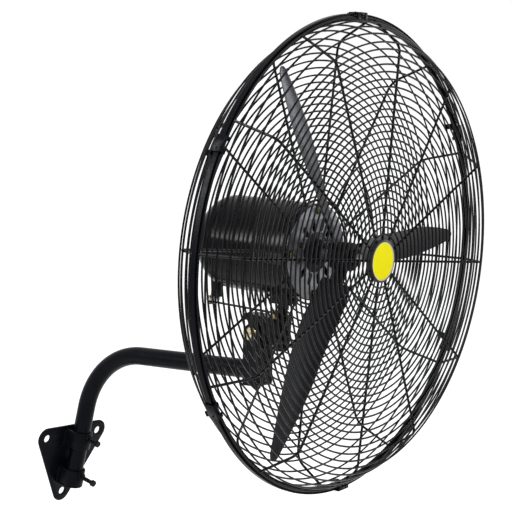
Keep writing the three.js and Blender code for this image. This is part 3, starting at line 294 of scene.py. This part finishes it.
class Mesher:
    """Gathers vertices in millimetres of one frame, and the faces between them."""

    def __init__(self):
        self.verts = []
        self.faces = []

    def add(self, verts, faces, matrix=None):
        start = len(self.verts)
        self.verts += [matrix @ Vector(v) if matrix else Vector(v) for v in verts]
        self.faces += [[i + start for i in face] for face in faces]

    def loft(self, rings, wrap=False, matrix=None):
        """Quads between rings of equally many points; wrap joins the last ring to the first."""
        count = len(rings[0])
        verts = [p for ring in rings for p in ring]
        faces = []
        last = len(rings) if wrap else len(rings) - 1
        for s in range(last):
            a, b = s * count, ((s + 1) % len(rings)) * count
            for i in range(count):
                j = (i + 1) % count
                faces.append([a + i, a + j, b + j, b + i])
        if not wrap:
            faces.append(list(reversed(range(count))))
            faces.append([last * count + i for i in range(count)])
        self.add(verts, faces, matrix)

    def lathe(self, profile, segments, matrix=None, closed=True):
        """Turns [radius, y] points round the Y axis; points on the axis become one vertex."""
        verts, columns = [], []
        for radius, y in profile:
            if radius < ON_AXIS:
                columns.append([len(verts)] * segments)
                verts.append((0, y, 0))
                continue
            columns.append([len(verts) + k for k in range(segments)])
            verts += ring_round_y(radius, y, segments)
        faces = []
        for a, b in zip(columns, columns[1:] + columns[:1] if closed else columns[1:]):
            for k in range(segments):
                n = (k + 1) % segments
                face = []
                for v in (a[k], a[n], b[n], b[k]):
                    if v not in face:
                        face.append(v)
                if len(face) > 2:
                    faces.append(face)
        self.add(verts, faces, matrix)

    def path(self, points, radius, sides=8, closed=False):
        """A round wire through points."""
        points = [Vector(p) for p in points]
        count = len(points)
        rings = []
        normal = None
        for i, p in enumerate(points):
            before = points[(i - 1) % count] if closed or i else p
            after = points[(i + 1) % count] if closed or i + 1 < count else p
            tangent = (after - before).normalized()
            if normal is None:
                normal = tangent.orthogonal().normalized()
            normal = (normal - tangent * normal.dot(tangent)).normalized()
            rings.append(ring_between(p, radius, sides, normal, tangent.cross(normal)))
        self.loft(rings, wrap=closed)

    def plate(self, loops, low, high, plane, matrix=None, bevel=0.6, steps=2):
        """A flat piece with holes: first loop is the outline, the rest are holes; edges are rounded."""
        curve = bpy.data.curves.new("outline", "CURVE")
        curve.dimensions = "2D"
        curve.fill_mode = "BOTH"
        curve.extrude = (high - low) / 2 - bevel
        curve.bevel_depth = bevel
        curve.bevel_resolution = steps
        curve.offset = -bevel
        for loop in loops:
            spline = curve.splines.new("POLY")
            spline.points.add(len(loop) - 1)
            for point, (x, y) in zip(spline.points, loop):
                point.co = (x, y, 0, 1)
            spline.use_cyclic_u = True
        temp = bpy.data.objects.new("outline", curve)
        mesh = bpy.data.meshes.new_from_object(temp)
        shift = Matrix.Translation((0, 0, (low + high) / 2))
        whole = (matrix or Matrix.Identity(4)) @ plane @ shift
        self.add([v.co[:] for v in mesh.vertices], [list(p.vertices) for p in mesh.polygons], whole)
        bpy.data.objects.remove(temp)
        bpy.data.curves.remove(curve)
        bpy.data.meshes.remove(mesh)

    def hexagon(self, flats, low, high, matrix, chamfer):
        """A hex head along Z with its outer corners turned off at both ends."""
        inner = flats / 2
        corner = flats / math.sqrt(3)
        face_ring = inner * 0.96
        sixth = math.pi / 3
        side_rings = []
        for z, into in ((low, 1), (high, -1)):
            ring = []
            for k in range(HEX_POINTS):
                angle = 2 * math.pi * k / HEX_POINTS
                reach = inner / math.cos((angle + math.pi / 6) % sixth - math.pi / 6)
                drop = chamfer * (reach - inner) / (corner - inner) + 0.25 * chamfer
                ring.append((*polar(reach, angle), z + into * drop))
            side_rings.append(ring)
        self.loft([ring_round_z(face_ring, low, HEX_POINTS), *side_rings,
                   ring_round_z(face_ring, high, HEX_POINTS)], matrix=matrix)

    def rod(self, radius, low, high, matrix, edge=0.4):
        """A round bar along Z with small chamfers."""
        profile = ((radius - edge, low), (radius, low + edge), (radius, high - edge), (radius - edge, high))
        self.loft([ring_round_z(r, z, ROD_SIDES) for r, z in profile], matrix=matrix)

    def tube(self, inner, outer, low, high, matrix, sides=32, edge=0.4):
        """A ring along Z with small chamfers."""
        profile = ((inner, low), (outer - edge, low), (outer, low + edge), (outer, high - edge),
                   (outer - edge, high), (inner, high))
        self.loft([ring_round_z(r, z, sides) for r, z in profile], wrap=True, matrix=matrix)


WELD = 1e-6
SMOOTH_BELOW = math.radians(35)
BEVEL_ABOVE = math.radians(40)


def piece(name, mesher, material, body, replaces=(), matrix=None):
    """Makes an object in metres of what the mesher holds, welded and facing out."""
    mesh = bpy.data.meshes.new(name)
    whole = Matrix.Scale(MM, 4) @ (matrix or Matrix.Identity(4))
    mesh.from_pydata([whole @ v for v in mesher.verts], [], mesher.faces)
    bm = bmesh.new()
    bm.from_mesh(mesh)
    bmesh.ops.remove_doubles(bm, verts=bm.verts, dist=WELD)
    bmesh.ops.recalc_face_normals(bm, faces=bm.faces)
    bm.to_mesh(mesh)
    bm.free()
    mesh.polygons.foreach_set("use_smooth", [True] * len(mesh.polygons))
    mesh.set_sharp_from_angle(angle=SMOOTH_BELOW)
    mesh.materials.append(material)
    obj = bpy.data.objects.new(name, mesh)
    bpy.context.scene.collection.objects.link(obj)
    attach(obj, body)
    if replaces:
        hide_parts(*replaces)


def dress(node, material, bevel):
    """Gives a CAD solid its material and small rounded edges."""
    obj = NODES[node]
    obj.data.materials.clear()
    obj.data.materials.append(material)
    for polygon in obj.data.polygons:
        polygon.material_index = 0
    if bevel:
        mod = obj.modifiers.new("edges", "BEVEL")
        mod.width = bevel * MM
        mod.segments = 3
        mod.limit_method = "ANGLE"
        mod.angle_limit = BEVEL_ABOVE
        mod.use_clamp_overlap = True
        mod.harden_normals = False


# ------------------------------------------------------------------ guards
RIM_WIRE = 2.0
RIM_WIRE_R = 394.0
RIM_WIRE_Y = 4.3
RIB = 2.2
RIB_COUNT = 12
RIB_STEP = 60
RING = 1.6
RING_PITCH = 12.0
RING_START = 1.5  # rings start this far past the rim wire
WALL_RINGS = (11, 26, 45)
GUARD_TURN = math.radians(-2)
CORNER_STEPS = 10


def bent(start, corner, end, radius, steps):
    """Start, rounded corner, end, as points in (radius, depth)."""
    start, corner, end = Vector(start), Vector(corner), Vector(end)
    a = (corner - start).normalized()
    b = (end - corner).normalized()
    turn = math.acos(max(-1, min(1, a.dot(b))))
    side = 1 if a.x * b.y - a.y * b.x > 0 else -1
    cutoff = radius * math.tan(turn / 2)
    first = corner - a * cutoff
    centre = first + Vector((-a.y, a.x)) * side * radius
    points = [start]
    for i in range(steps + 1):
        angle = side * turn * i / steps
        rel = first - centre
        points.append(centre + Vector((rel.x * math.cos(angle) - rel.y * math.sin(angle),
                                       rel.x * math.sin(angle) + rel.y * math.cos(angle))))
    points.append(end)
    return points


def along(points, pitch, first):
    """Points at an even pitch along a line."""
    found = []
    left = first
    for p, q in zip(points, points[1:]):
        length = (q - p).length
        direction = (q - p).normalized()
        while left < length - 1e-9:
            found.append(p + direction * left)
            left += pitch
        left -= length
    return found


def guard(side, corner, end, bend, first):
    """Rings outside and ribs inside; side is -1 for the front guard and 1 for the rear one."""
    mesher = Mesher()
    line = bent((RIM_WIRE_R, RIM_WIRE_Y + RING_START), corner, end, bend, CORNER_STEPS)
    wall = [along(line, math.inf, reach)[0] for reach in WALL_RINGS]
    for radius, depth in wall + along(line, RING_PITCH, first):
        count = max(64, int(radius * 2 * math.pi / 12))
        mesher.path(ring_round_y(radius, side * depth, count), RING, 6, closed=True)
    inset = RIB + RING - 0.5
    line = bent((RIM_WIRE_R, RIM_WIRE_Y), (corner[0] - inset, corner[1] - inset),
                (end[0], end[1] - inset), bend, CORNER_STEPS)
    rib = []
    for p, q in zip(line, line[1:]):
        parts = max(1, int((q - p).length / RIB_STEP))
        rib += [p + (q - p) * j / parts for j in range(parts)]
    rib.append(line[-1])
    for k in range(RIB_COUNT):
        angle = GUARD_TURN + math.pi / 6 * k
        mesher.path([(p.x * math.cos(angle), side * p.y, p.x * math.sin(angle)) for p in rib], RIB)
    for radius, depth, count in ((RIM_WIRE_R, RIM_WIRE_Y, 240), (*end, 96)):
        mesher.path(ring_round_y(radius, side * depth, count), RIM_WIRE, 10, closed=True)
    return mesher


FRONT_CORNER = (355, 63)
FRONT_HUB_RING = (33, 66.6)
REAR_CORNER = (360, 66.4)
REAR_HUB_RING = (89, 68.0)
BELL_SCREWS = [math.radians(2 + 90 * k) for k in range(4)]
BELL_SCREW_R = 72
BELL_HOLE = 3.4

front = guard(-1, FRONT_CORNER, FRONT_HUB_RING, bend=24, first=66)
piece("front_guard_wires", front, WIRE, "head", ("front_guard",), HEAD)

rear = guard(1, REAR_CORNER, REAR_HUB_RING, bend=30, first=67)
for screw in BELL_SCREWS:
    ends = [polar(BELL_SCREW_R, screw), polar(REAR_HUB_RING[0], screw)]
    outline = wrapped(ends, 7, 10)
    hole = circle(*ends[0], BELL_HOLE, 20)
    rear.plate([outline, hole], -65.6, -63.6, FLAT_Y, bevel=0.5)
piece("rear_guard_wires", rear, WIRE, "head", ("rear_guard",), HEAD)

hoop = Mesher()
hoop.lathe([(388, -2), (388.5, -2.5), (397.6, -2.5), (398.2, -3.1), (398.2, -4.1), (398.7, -4.6), (399.5, -4.6),
            (400, -4.1), (400, 4.1), (399.5, 4.6), (398.7, 4.6), (398.2, 4.1), (398.2, 3.1), (397.6, 2.5),
            (388.5, 2.5), (388, 2)], 240)
piece("rim_band", hoop, GLOSS, "head", ("rim_hoop",), HEAD)


# ------------------------------------------------------------------ clips
CLIP_COUNT = 6
FIRST_CLIP = 34  # degrees
SIDE_RUN = Vector((REAR_CORNER[0] - RIM_WIRE_R, REAR_CORNER[1] - RIM_WIRE_Y)).normalized()
SIDE_OUT = Vector((SIDE_RUN.y, -SIDE_RUN.x))


def on_tongue(reach, lift):
    return tuple(Vector((RIM_WIRE_R, RIM_WIRE_Y)) + SIDE_RUN * reach + SIDE_OUT * lift)


def clip(index):
    """A bridge over the rim wires, two bands round them and a sprung tongue up the rear wall."""
    turn = Matrix.Rotation(-math.radians(FIRST_CLIP + 360 // CLIP_COUNT * index), 4, "Y")
    foot, top, ceiling = 391, 402.4, 400.4
    outer, inner, corner, fillet = 9.7, 7.7, 2.2, 0.6
    loop = [(foot, -outer)] + arc(top - corner, -outer + corner, corner, -90, 0, 6)
    loop += arc(top - corner, outer - corner, corner, 0, 90, 6) + [(foot, outer)]
    loop += [(foot, inner)] + arc(ceiling - fillet, inner - fillet, fillet, 90, 0, 3)
    loop += arc(ceiling - fillet, -inner + fillet, fillet, 0, -90, 3) + [(foot, -inner)]
    mesher = Mesher()
    mesher.plate([loop], -13.6, -6.5, FLAT_Z, turn, bevel=0.5)
    mesher.plate([loop], 6.5, 14.6, FLAT_Z, turn, bevel=0.5)
    bridge = [p for p in loop if p[0] > 396]
    mesher.plate([bridge], -7.4, 7.4, FLAT_Z, turn, bevel=0.4)
    tongue = [(401, 8.2), on_tongue(6, 5.1), on_tongue(9, 5.2), on_tongue(11, 6.6), on_tongue(14.6, 10.2)]
    tongue += [on_tongue(16, 8.7), on_tongue(12.2, 4.6), on_tongue(10, 3.3), on_tongue(6, 3.3), (397, 8.2)]
    mesher.plate([tongue], 9.5, 19.5, FLAT_Z, turn, bevel=0.4)
    for along_rim in (-9, 9):
        dimple = Matrix.Translation((0, 0, along_rim)) @ Matrix.Rotation(math.radians(-90), 4, "Z")
        mesher.lathe([(0, 403.2), (1.2, 403.1), (2.0, 402.3), (2.0, 401.4), (0, 401.4)], 20,
                     turn @ dimple, closed=False)
    piece(f"clip_{index + 1}", mesher, GLOSS, "head", (f"rim_clip_{index + 1}",), HEAD)


for k in range(CLIP_COUNT):
    clip(k)

# ------------------------------------------------------------------ hub cup and badge
cup = Mesher()
cup.lathe([(0, -67.5), (31.2, -67.5), (31.4, -67.8), (31.4, -69), (32, -69.4), (34.2, -69.4), (35.1, -69),
           (35.5, -68), (35.5, -60), (34.8, -59.2), (0, -59.2)], 128, closed=False)
piece("front_cup", cup, BLACK, "head", ("hub_cup",), HEAD)

disc = Mesher()
disc.lathe([(0, -69.3), (28.6, -69.4), (30.2, -69.25), (30.9, -68.9), (31, -68.5), (31, -67.9), (0, -67.9)],
           128, closed=False)
piece("badge_face", disc, YELLOW, "head", ("badge_disc",), HEAD)

trim = Mesher()
trim.lathe([(31.05, -68.2), (31.05, -69.5), (31.3, -69.75), (31.8, -69.75), (32.05, -69.5), (32.05, -68.2)], 128)
piece("badge_trim", trim, STEEL, "head", matrix=HEAD)

# ------------------------------------------------------------------ motor
can = Mesher()
can.lathe([(80.2, 70.6), (82.4, 70.6), (83, 71.2), (83, 197), (82.2, 197.6), (82.2, 199.4), (83, 200),
           (83, 234.3), (82.4, 235), (80.2, 235)], 128)
piece("motor_shell", can, SHELL, "head", ("motor_can",), HEAD)

DOME_START = 235.4
CAN_R = 83


def dome_arc(radius, height, steps, count):
    """The first points of a quarter ellipse of so many steps, from the can's side to the axis."""
    angles = [math.pi / 2 * i / steps for i in range(count)]
    return [(radius * math.cos(a), DOME_START + 5 + height * math.sin(a)) for a in angles]


dome = Mesher()
outer = [(CAN_R, DOME_START + 0.6)] + dome_arc(CAN_R, 60, 20, 20) + [(0, DOME_START + 65)]
inner = dome_arc(80, 57, 12, 9)
seat = [(0, 256.4), (13.4, 256.4), (13.4, 246.2), (17.4, 246.2), (17.4, DOME_START),
        (21.4, DOME_START), (21.4, 290)]
dome.lathe([(82.4, DOME_START)] + outer + seat + inner[::-1] + [(80, DOME_START)], 128)
piece("motor_dome", dome, SHELL, "head", ("rear_cover",), HEAD)

bell = Mesher()
SLOTS = [math.radians(15 + 30 * k) for k in range(12)]
slots = [wrapped([polar(41.5, a), polar(53, a)], 5, 8) for a in SLOTS]
holes = [circle(*polar(BELL_SCREW_R, a), BELL_HOLE, 20) for a in BELL_SCREWS]
bell.plate([circle(0, 0, 81.4, 160), circle(0, 0, 34.6, 96)] + slots + holes, -70, -66, FLAT_Y, bevel=0.8)
bell.lathe([(79.6, 69.5), (79.6, 78), (65.6, 78), (62.6, 69.5)], 96)
piece("motor_bell", bell, BELL, "head", ("end_bell",), HEAD)

# The bell's centre dish is split off in cast black. Its dark colour is painted shade and a painted reflection of
# the hub, laid over the bell's grey metal.
boss = Mesher()
boss.lathe([(9.5, 52), (19, 52), (20.8, 53), (21.4, 54.6), (21.8, 63), (24, 65.2), (28, 66.6), (33.4, 66.9),
            (34.8, 67.6), (34.8, 69.6), (34, 70), (17.4, 70), (17.4, 55), (9.5, 55)], 96)
piece("bell_centre_painted_shade", boss, CAST, "head", matrix=HEAD)

lip = Mesher()
lip.lathe([(81.5, 66.9), (82.2, 66.5), (83, 67.2), (83, 70), (81.5, 70)], 128)
piece("bell_lip", lip, SHELL, "head", matrix=HEAD)

TURN_TO_Y = Matrix.Rotation(math.radians(90), 4, "X")
for k, a in enumerate(BELL_SCREWS):
    x, z = polar(BELL_SCREW_R, a)
    at = Matrix.Translation((x, 0, z)) @ TURN_TO_Y
    screw = Mesher()
    screw.rod(6.8, -63.3, -62.3, at, edge=0.2)
    screw.hexagon(11, -62.4, -58.2, at, 0.8)
    piece(f"bell_screw_head_{k + 1}", screw, ZINC, "head", (f"bell_screw_{k + 1}",), HEAD)

box = Mesher()
profile = wrapped([(74, -17), (135, -17), (135, -5), (74, -5)], 3, 5)
box.plate([profile], -89, -81, FLAT_X, bevel=1.2, steps=3)
piece("terminal_cover", box, BLACK, "head", ("terminal_box",), HEAD)

dress("gearbox", CAST, 1.2)
dress("neck_bracket", CAST, 1.5)
dress("pivot_nut", CAST, 0.8)
dress("stator", WINDING, 0)
dress("front_bearing", STEEL, 0.3)
dress("rear_bearing", STEEL, 0.3)

# ------------------------------------------------------------------ rotor
dress("rotor_shaft", STEEL, 0.4)
dress("hub_nut", CAST, 0.7)
BLADE_TURNS = [math.radians(6 + 120 * k) for k in range(3)]
BLADE_ROOT = 45
BLADE_SPAN = 321
BLADE_Y = 12
BLADE_ENDS = [353, 356, 358.4, 360.2, 361.5, 362.4, 362.9, 363.1]
BLADE_RADII = [BLADE_ROOT + 7.6 * i for i in range(41)] + BLADE_ENDS
ARM_END = 175
ARM_RADII = [14, 30, 60, 90, 120, 150, 160, 167, 169, 171, 172.7, 174, 174.7, ARM_END]


def share_of_span(radius):
    return (radius - BLADE_ROOT) / BLADE_SPAN


def pitch_at(radius):
    t = share_of_span(radius)
    return math.radians(39 - 48 * t + 16 * t * t)


def root_swell(radius):
    return 7 * math.exp(-((radius - 95) / 75) ** 2)


def rounded_end(radius, start, length, least):
    """What is left of a width that rounds off over a length from start."""
    into = max(0.0, (radius - start) / length)
    return math.sqrt(max(least, 1 - into ** 2))


def chord_at(radius):
    t = share_of_span(radius)
    body = 1 - 0.21 * (1 - t / 0.5) ** 2 if t < 0.5 else 1 - 0.75 * ((t - 0.5) / 0.5) ** 1.6
    return (61 * body + root_swell(radius)) * rounded_end(radius, 353, 10.2, 0.004)


def arm_width(radius):
    return (26 - 10 * radius / ARM_END) * rounded_end(radius, 167, 8, 0.01)


def shift_at(radius):
    """How far the chord's middle lies ahead of the blade's own radius."""
    t = share_of_span(radius)
    lead = 7 * max(0.0, 1 - t / 0.25)
    dent = 2.5 * math.exp(-((t - 0.36) / 0.16) ** 2)
    return -4.5 - 2.2 * t ** 3 + lead + 0.5 * root_swell(radius) - dent


def strip(radii, width, camber, thick, offset, across, turn):
    """Rings round a twisted, cambered plate, one at each radius."""
    rings = []
    for radius in radii:
        pitch = pitch_at(radius)
        chord_line = Vector((0, -math.sin(pitch), math.cos(pitch)))
        normal = Vector((0, math.cos(pitch), math.sin(pitch)))
        chord = width(radius)
        fore, aft = [], []
        for i in range(across):
            u = i / (across - 1) - 0.5
            middle = Vector((radius, BLADE_Y, 0)) + chord_line * (u * chord + shift_at(radius))
            middle += normal * (camber * chord * (1 - 4 * u * u) + offset)
            edge = thick / 2 * min(1.0, math.sqrt(max(0.05, 1 - (abs(2 * u)) ** 14)))
            fore.append(middle - normal * edge)
            aft.append(middle + normal * edge)
        rings.append([Matrix.Rotation(-turn, 4, "Y") @ v for v in fore + aft[::-1]])
    return rings


for k, turn in enumerate(BLADE_TURNS):
    mesher = Mesher()
    mesher.loft(strip(BLADE_RADII, chord_at, 0.05, 1.6, 0, 25, turn))
    piece(f"blade_skin_{k + 1}", mesher, BLADE, "rotor", (f"blade_{k + 1}",), HEAD)

spider = Mesher()
spider.lathe([(7.9, -9.6), (8.3, -10), (20, -10), (22.6, -9), (24, -6.6), (24, 26.6), (22.6, 28), (8.3, 28),
              (7.9, 27.6)], 64)
for turn in BLADE_TURNS:
    spider.loft(strip(ARM_RADII, arm_width, 0, 4, 6.2, 9, turn))
piece("spider_hub", spider, CAST, "rotor", ("fan_hub",), HEAD)

# ------------------------------------------------------------------ tilt and swing drive
dress("swivel_block", CAST, 1.4)
dress("link_pin", BRASS, 0.4)
dress("crank_screw", BRASS, 0.4)
dress("crank_nut", BRASS, 0.4)
dress("crank", STEEL, 0.5)
dress("link_rod", CAST, 0.5)
dress("yoke_casting", CAST, 1.6)
dress("yoke_lock_screw", CAST, 0.5)

ALONG_X = Matrix.Rotation(math.radians(90), 4, "Y")
bolt = Mesher()
bolt.hexagon(19, -30.3, -22.8, ALONG_X, 1.3)
bolt.rod(6, -23, 33.6, ALONG_X)
piece("tilt_bolt_steel", bolt, ZINC, "arm", ("tilt_bolt",), ARM)
for name, low in (("left", -22.4), ("right", 20.4)):
    washer = Mesher()
    washer.tube(6.4, 12, low, low + 2, ALONG_X, 48)
    piece(f"tilt_washer_steel_{name}", washer, ZINC, "arm", (f"tilt_washer_{name}",), ARM)
dress("tilt_nut", ZINC, 0.8)

# ------------------------------------------------------------------ arm
TUBE_R = 17
TUBE_BORE = 14.2
TUBE_Y = -25.5
TUBE_LOW = -32.2
TUBE_BEND = 148
TUBE_DROP = 65.5  # from the tilt bolt down to the tube's middle line
TUBE_SIDES = 48
ACROSS = Vector((1, 0, 0))


def tube_line():
    """The tube's middle line: up the wall, round one bend and out to the yoke."""
    rise = Vector((-math.cos(ARM_RISE), math.sin(ARM_RISE)))
    under = Vector((-391, 401)) + Vector((-math.sin(ARM_RISE), -math.cos(ARM_RISE))) * TUBE_DROP
    corner = Vector((TUBE_Y, under.y - (TUBE_Y - under.x) * rise.y / -rise.x))
    end = under + rise * 10
    return [Vector((0, p.x, p.y)) for p in bent((TUBE_Y, TUBE_LOW), corner, end, TUBE_BEND, 40)]


line = tube_line()
last = len(line) - 1
tangents = [(line[min(last, i + 1)] - line[max(0, i - 1)]).normalized() for i in range(len(line))]
tangents[1] = tangents[0]
tangents[-2] = tangents[-1]
skin = [ring_between(p, TUBE_R, TUBE_SIDES, ACROSS, ACROSS.cross(t)) for p, t in zip(line, tangents)]
bore = [ring_between(p, TUBE_BORE, TUBE_SIDES, ACROSS, ACROSS.cross(t)) for p, t in zip(line, tangents)]
tube = Mesher()
tube.loft(skin + bore[::-1], wrap=True)
piece("arm_pipe", tube, GLOSS, "arm", ("arm_tube",))

# ------------------------------------------------------------------ wall plate
HOLES = [(-68.5, 60), (0, -60), (68.5, 60)]
STRAP_R = 21.8
STRAP_BORE = 17.4
plate = Mesher()
plate.plate([wrapped(HOLES, 21, 14)] + [circle(x, z, 7.6, 40) for x, z in HOLES], 0, 4, FLAT_Y, bevel=0.8)


def strap(radius):
    """Half round the tube, with both feet in the plate."""
    foot = -2.5
    return [(-radius, foot)] + arc(0, TUBE_Y, radius, 180, 360, 32) + [(radius, foot)]


for middle in (59, -20):
    plate.plate([strap(STRAP_R) + strap(STRAP_BORE)[::-1]], middle - 17, middle + 17, FLAT_Z, bevel=0.7)
    screw_z = middle + 7
    plate.tube(4.4, 8, 46.4, 51.3, Matrix.Translation((0, 0, screw_z)) @ TURN_TO_Y, 40)
    round_lug = [math.radians(15 * k) for k in range(24)]
    plate.path([(8.2 * math.cos(a), -47.6 + 1.8 * math.cos(a) ** 2, screw_z + 8.2 * math.sin(a))
                for a in round_lug], 1.1, closed=True)
    for side in (-22.3, 22.3):
        weld = [(side + 0.25 * (-1) ** k, -4.9 - 0.2 * (-1) ** k, middle - 15.5 + k) for k in range(32)]
        plate.path(weld, 1.5)
plate.plate([strap(STRAP_R)], -37, -32.6, FLAT_Z, bevel=1.2)
piece("wall_plate_steel", plate, COAT, "wall", ("wall_plate",))


def thread(mesher, radius, low, high, pitch, matrix):
    """Thread crests along Y, as a turned profile."""
    profile = [(0, low)]
    y = low + 0.3
    while y < high - pitch:
        profile += [(radius - 0.55 * pitch, y), (radius, y + pitch * 0.45), (radius, y + pitch * 0.6)]
        y += pitch
    profile += [(radius - 0.55 * pitch, high - 0.2), (0, high)]
    mesher.lathe(profile, 32, matrix, closed=False)


for name, reach, z in (("upper", 44, 66), ("lower", 53, -13)):
    at = Matrix.Translation((0, 0, z)) @ TURN_TO_Y
    head = 25.5 + reach
    screw = Mesher()
    screw.hexagon(12, head, head + 5.5, at, 1.0)
    screw.tube(3.6, 6.3, head - 0.6, head + 0.2, at, 32, 0.2)
    thread(screw, 4, -(head + 0.4), -43, 1.25, Matrix.Translation((0, 0, z)))
    piece(f"clamp_screw_{name}", screw, CAST, "wall", (f"clamp_bolt_{name}",))


# ------------------------------------------------------------------ floor, light and world
def light(name, place, aim, energy, size, size_y=None, colour=(1, 1, 1)):
    data = bpy.data.lights.new(name, "AREA")
    data.color = colour
    data.energy = energy
    data.shape = "RECTANGLE"
    data.size = size
    data.size_y = size_y or size
    obj = bpy.data.objects.new(name, data)
    obj.location = place
    direction = Vector(aim) - Vector(place)
    obj.rotation_euler = direction.to_track_quat("-Z", "Y").to_euler()
    bpy.context.scene.collection.objects.link(obj)


light("key", (-2.6, -1.6, 3.0), (0, -0.4, 0.45), 96, 1.0)
light("fill", (1.8, -3.2, 1.6), (0, -0.4, 0.4), 26, 2.0)
light("side", (-1.88, 1.11, 1.14), (-0.08, -0.43, 0.588), 24, 0.13, 1.1)
light("right", (2.68, -1.25, 1.34), (0.02, -0.6, 0.72), 17, 1.0, 0.5, (0.9, 0.92, 1))

FLOOR_GREY = 0.8
FLOOR_GLOW = 0.8
FLOOR_HALF = 30
FLOOR_Z = -0.7
WORLD_SOFT = 0.3


def floor():
    """A pale floor that keeps its shadows and looks white to the camera and in gloss."""
    mat, tree, bsdf = new_material("pale_floor")
    out = [n for n in tree.nodes if n.type == "OUTPUT_MATERIAL"][0]
    bsdf.inputs["Base Color"].default_value = (FLOOR_GREY, FLOOR_GREY, FLOOR_GREY, 1)
    bsdf.inputs["Roughness"].default_value = 0.9
    seen = tree.nodes.new("ShaderNodeLightPath")
    peak = joined(tree, "MAXIMUM", seen.outputs["Is Camera Ray"], seen.outputs["Is Glossy Ray"])
    glow = tree.nodes.new("ShaderNodeEmission")
    glow.inputs["Color"].default_value = (1, 1, 1, 1)
    tree.links.new(ramp(tree, peak, 0, 1, 0, FLOOR_GLOW), glow.inputs["Strength"])
    total = tree.nodes.new("ShaderNodeAddShader")
    tree.links.new(bsdf.outputs["BSDF"], total.inputs[0])
    tree.links.new(glow.outputs["Emission"], total.inputs[1])
    tree.links.new(total.outputs["Shader"], out.inputs["Surface"])
    mesh = bpy.data.meshes.new("floor")
    corners = ((-1, -1), (1, -1), (1, 1), (-1, 1))
    mesh.from_pydata([(x * FLOOR_HALF, y * FLOOR_HALF, FLOOR_Z) for x, y in corners], [], [(0, 1, 2, 3)])
    mesh.materials.append(mat)
    obj = bpy.data.objects.new("floor", mesh)
    bpy.context.scene.collection.objects.link(obj)


floor()


def background(tree, colour, strength):
    node = tree.nodes.new("ShaderNodeBackground")
    node.inputs["Color"].default_value = (*colour, 1)
    node.inputs["Strength"].default_value = strength
    return node.outputs["Background"]


def world():
    """Soft light on the object, and plain white behind it, through it and in its gloss."""
    surround = bpy.data.worlds.new("studio")
    bpy.context.scene.world = surround
    surround.use_nodes = True
    tree = surround.node_tree
    tree.nodes.clear()
    out = tree.nodes.new("ShaderNodeOutputWorld")
    seen = tree.nodes.new("ShaderNodeLightPath")
    through = joined(tree, "MAXIMUM", seen.outputs["Is Camera Ray"], seen.outputs["Is Transmission Ray"])
    plain = joined(tree, "MAXIMUM", through, seen.outputs["Is Glossy Ray"])
    mix = tree.nodes.new("ShaderNodeMixShader")
    tree.links.new(plain, mix.inputs["Fac"])
    tree.links.new(background(tree, (0.95, 0.97, 1.0), WORLD_SOFT), mix.inputs[1])
    tree.links.new(background(tree, (1, 1, 1), 1.0), mix.inputs[2])
    tree.links.new(mix.outputs["Shader"], out.inputs["Surface"])


world()
bpy.context.scene.view_settings.view_transform = "Standard"
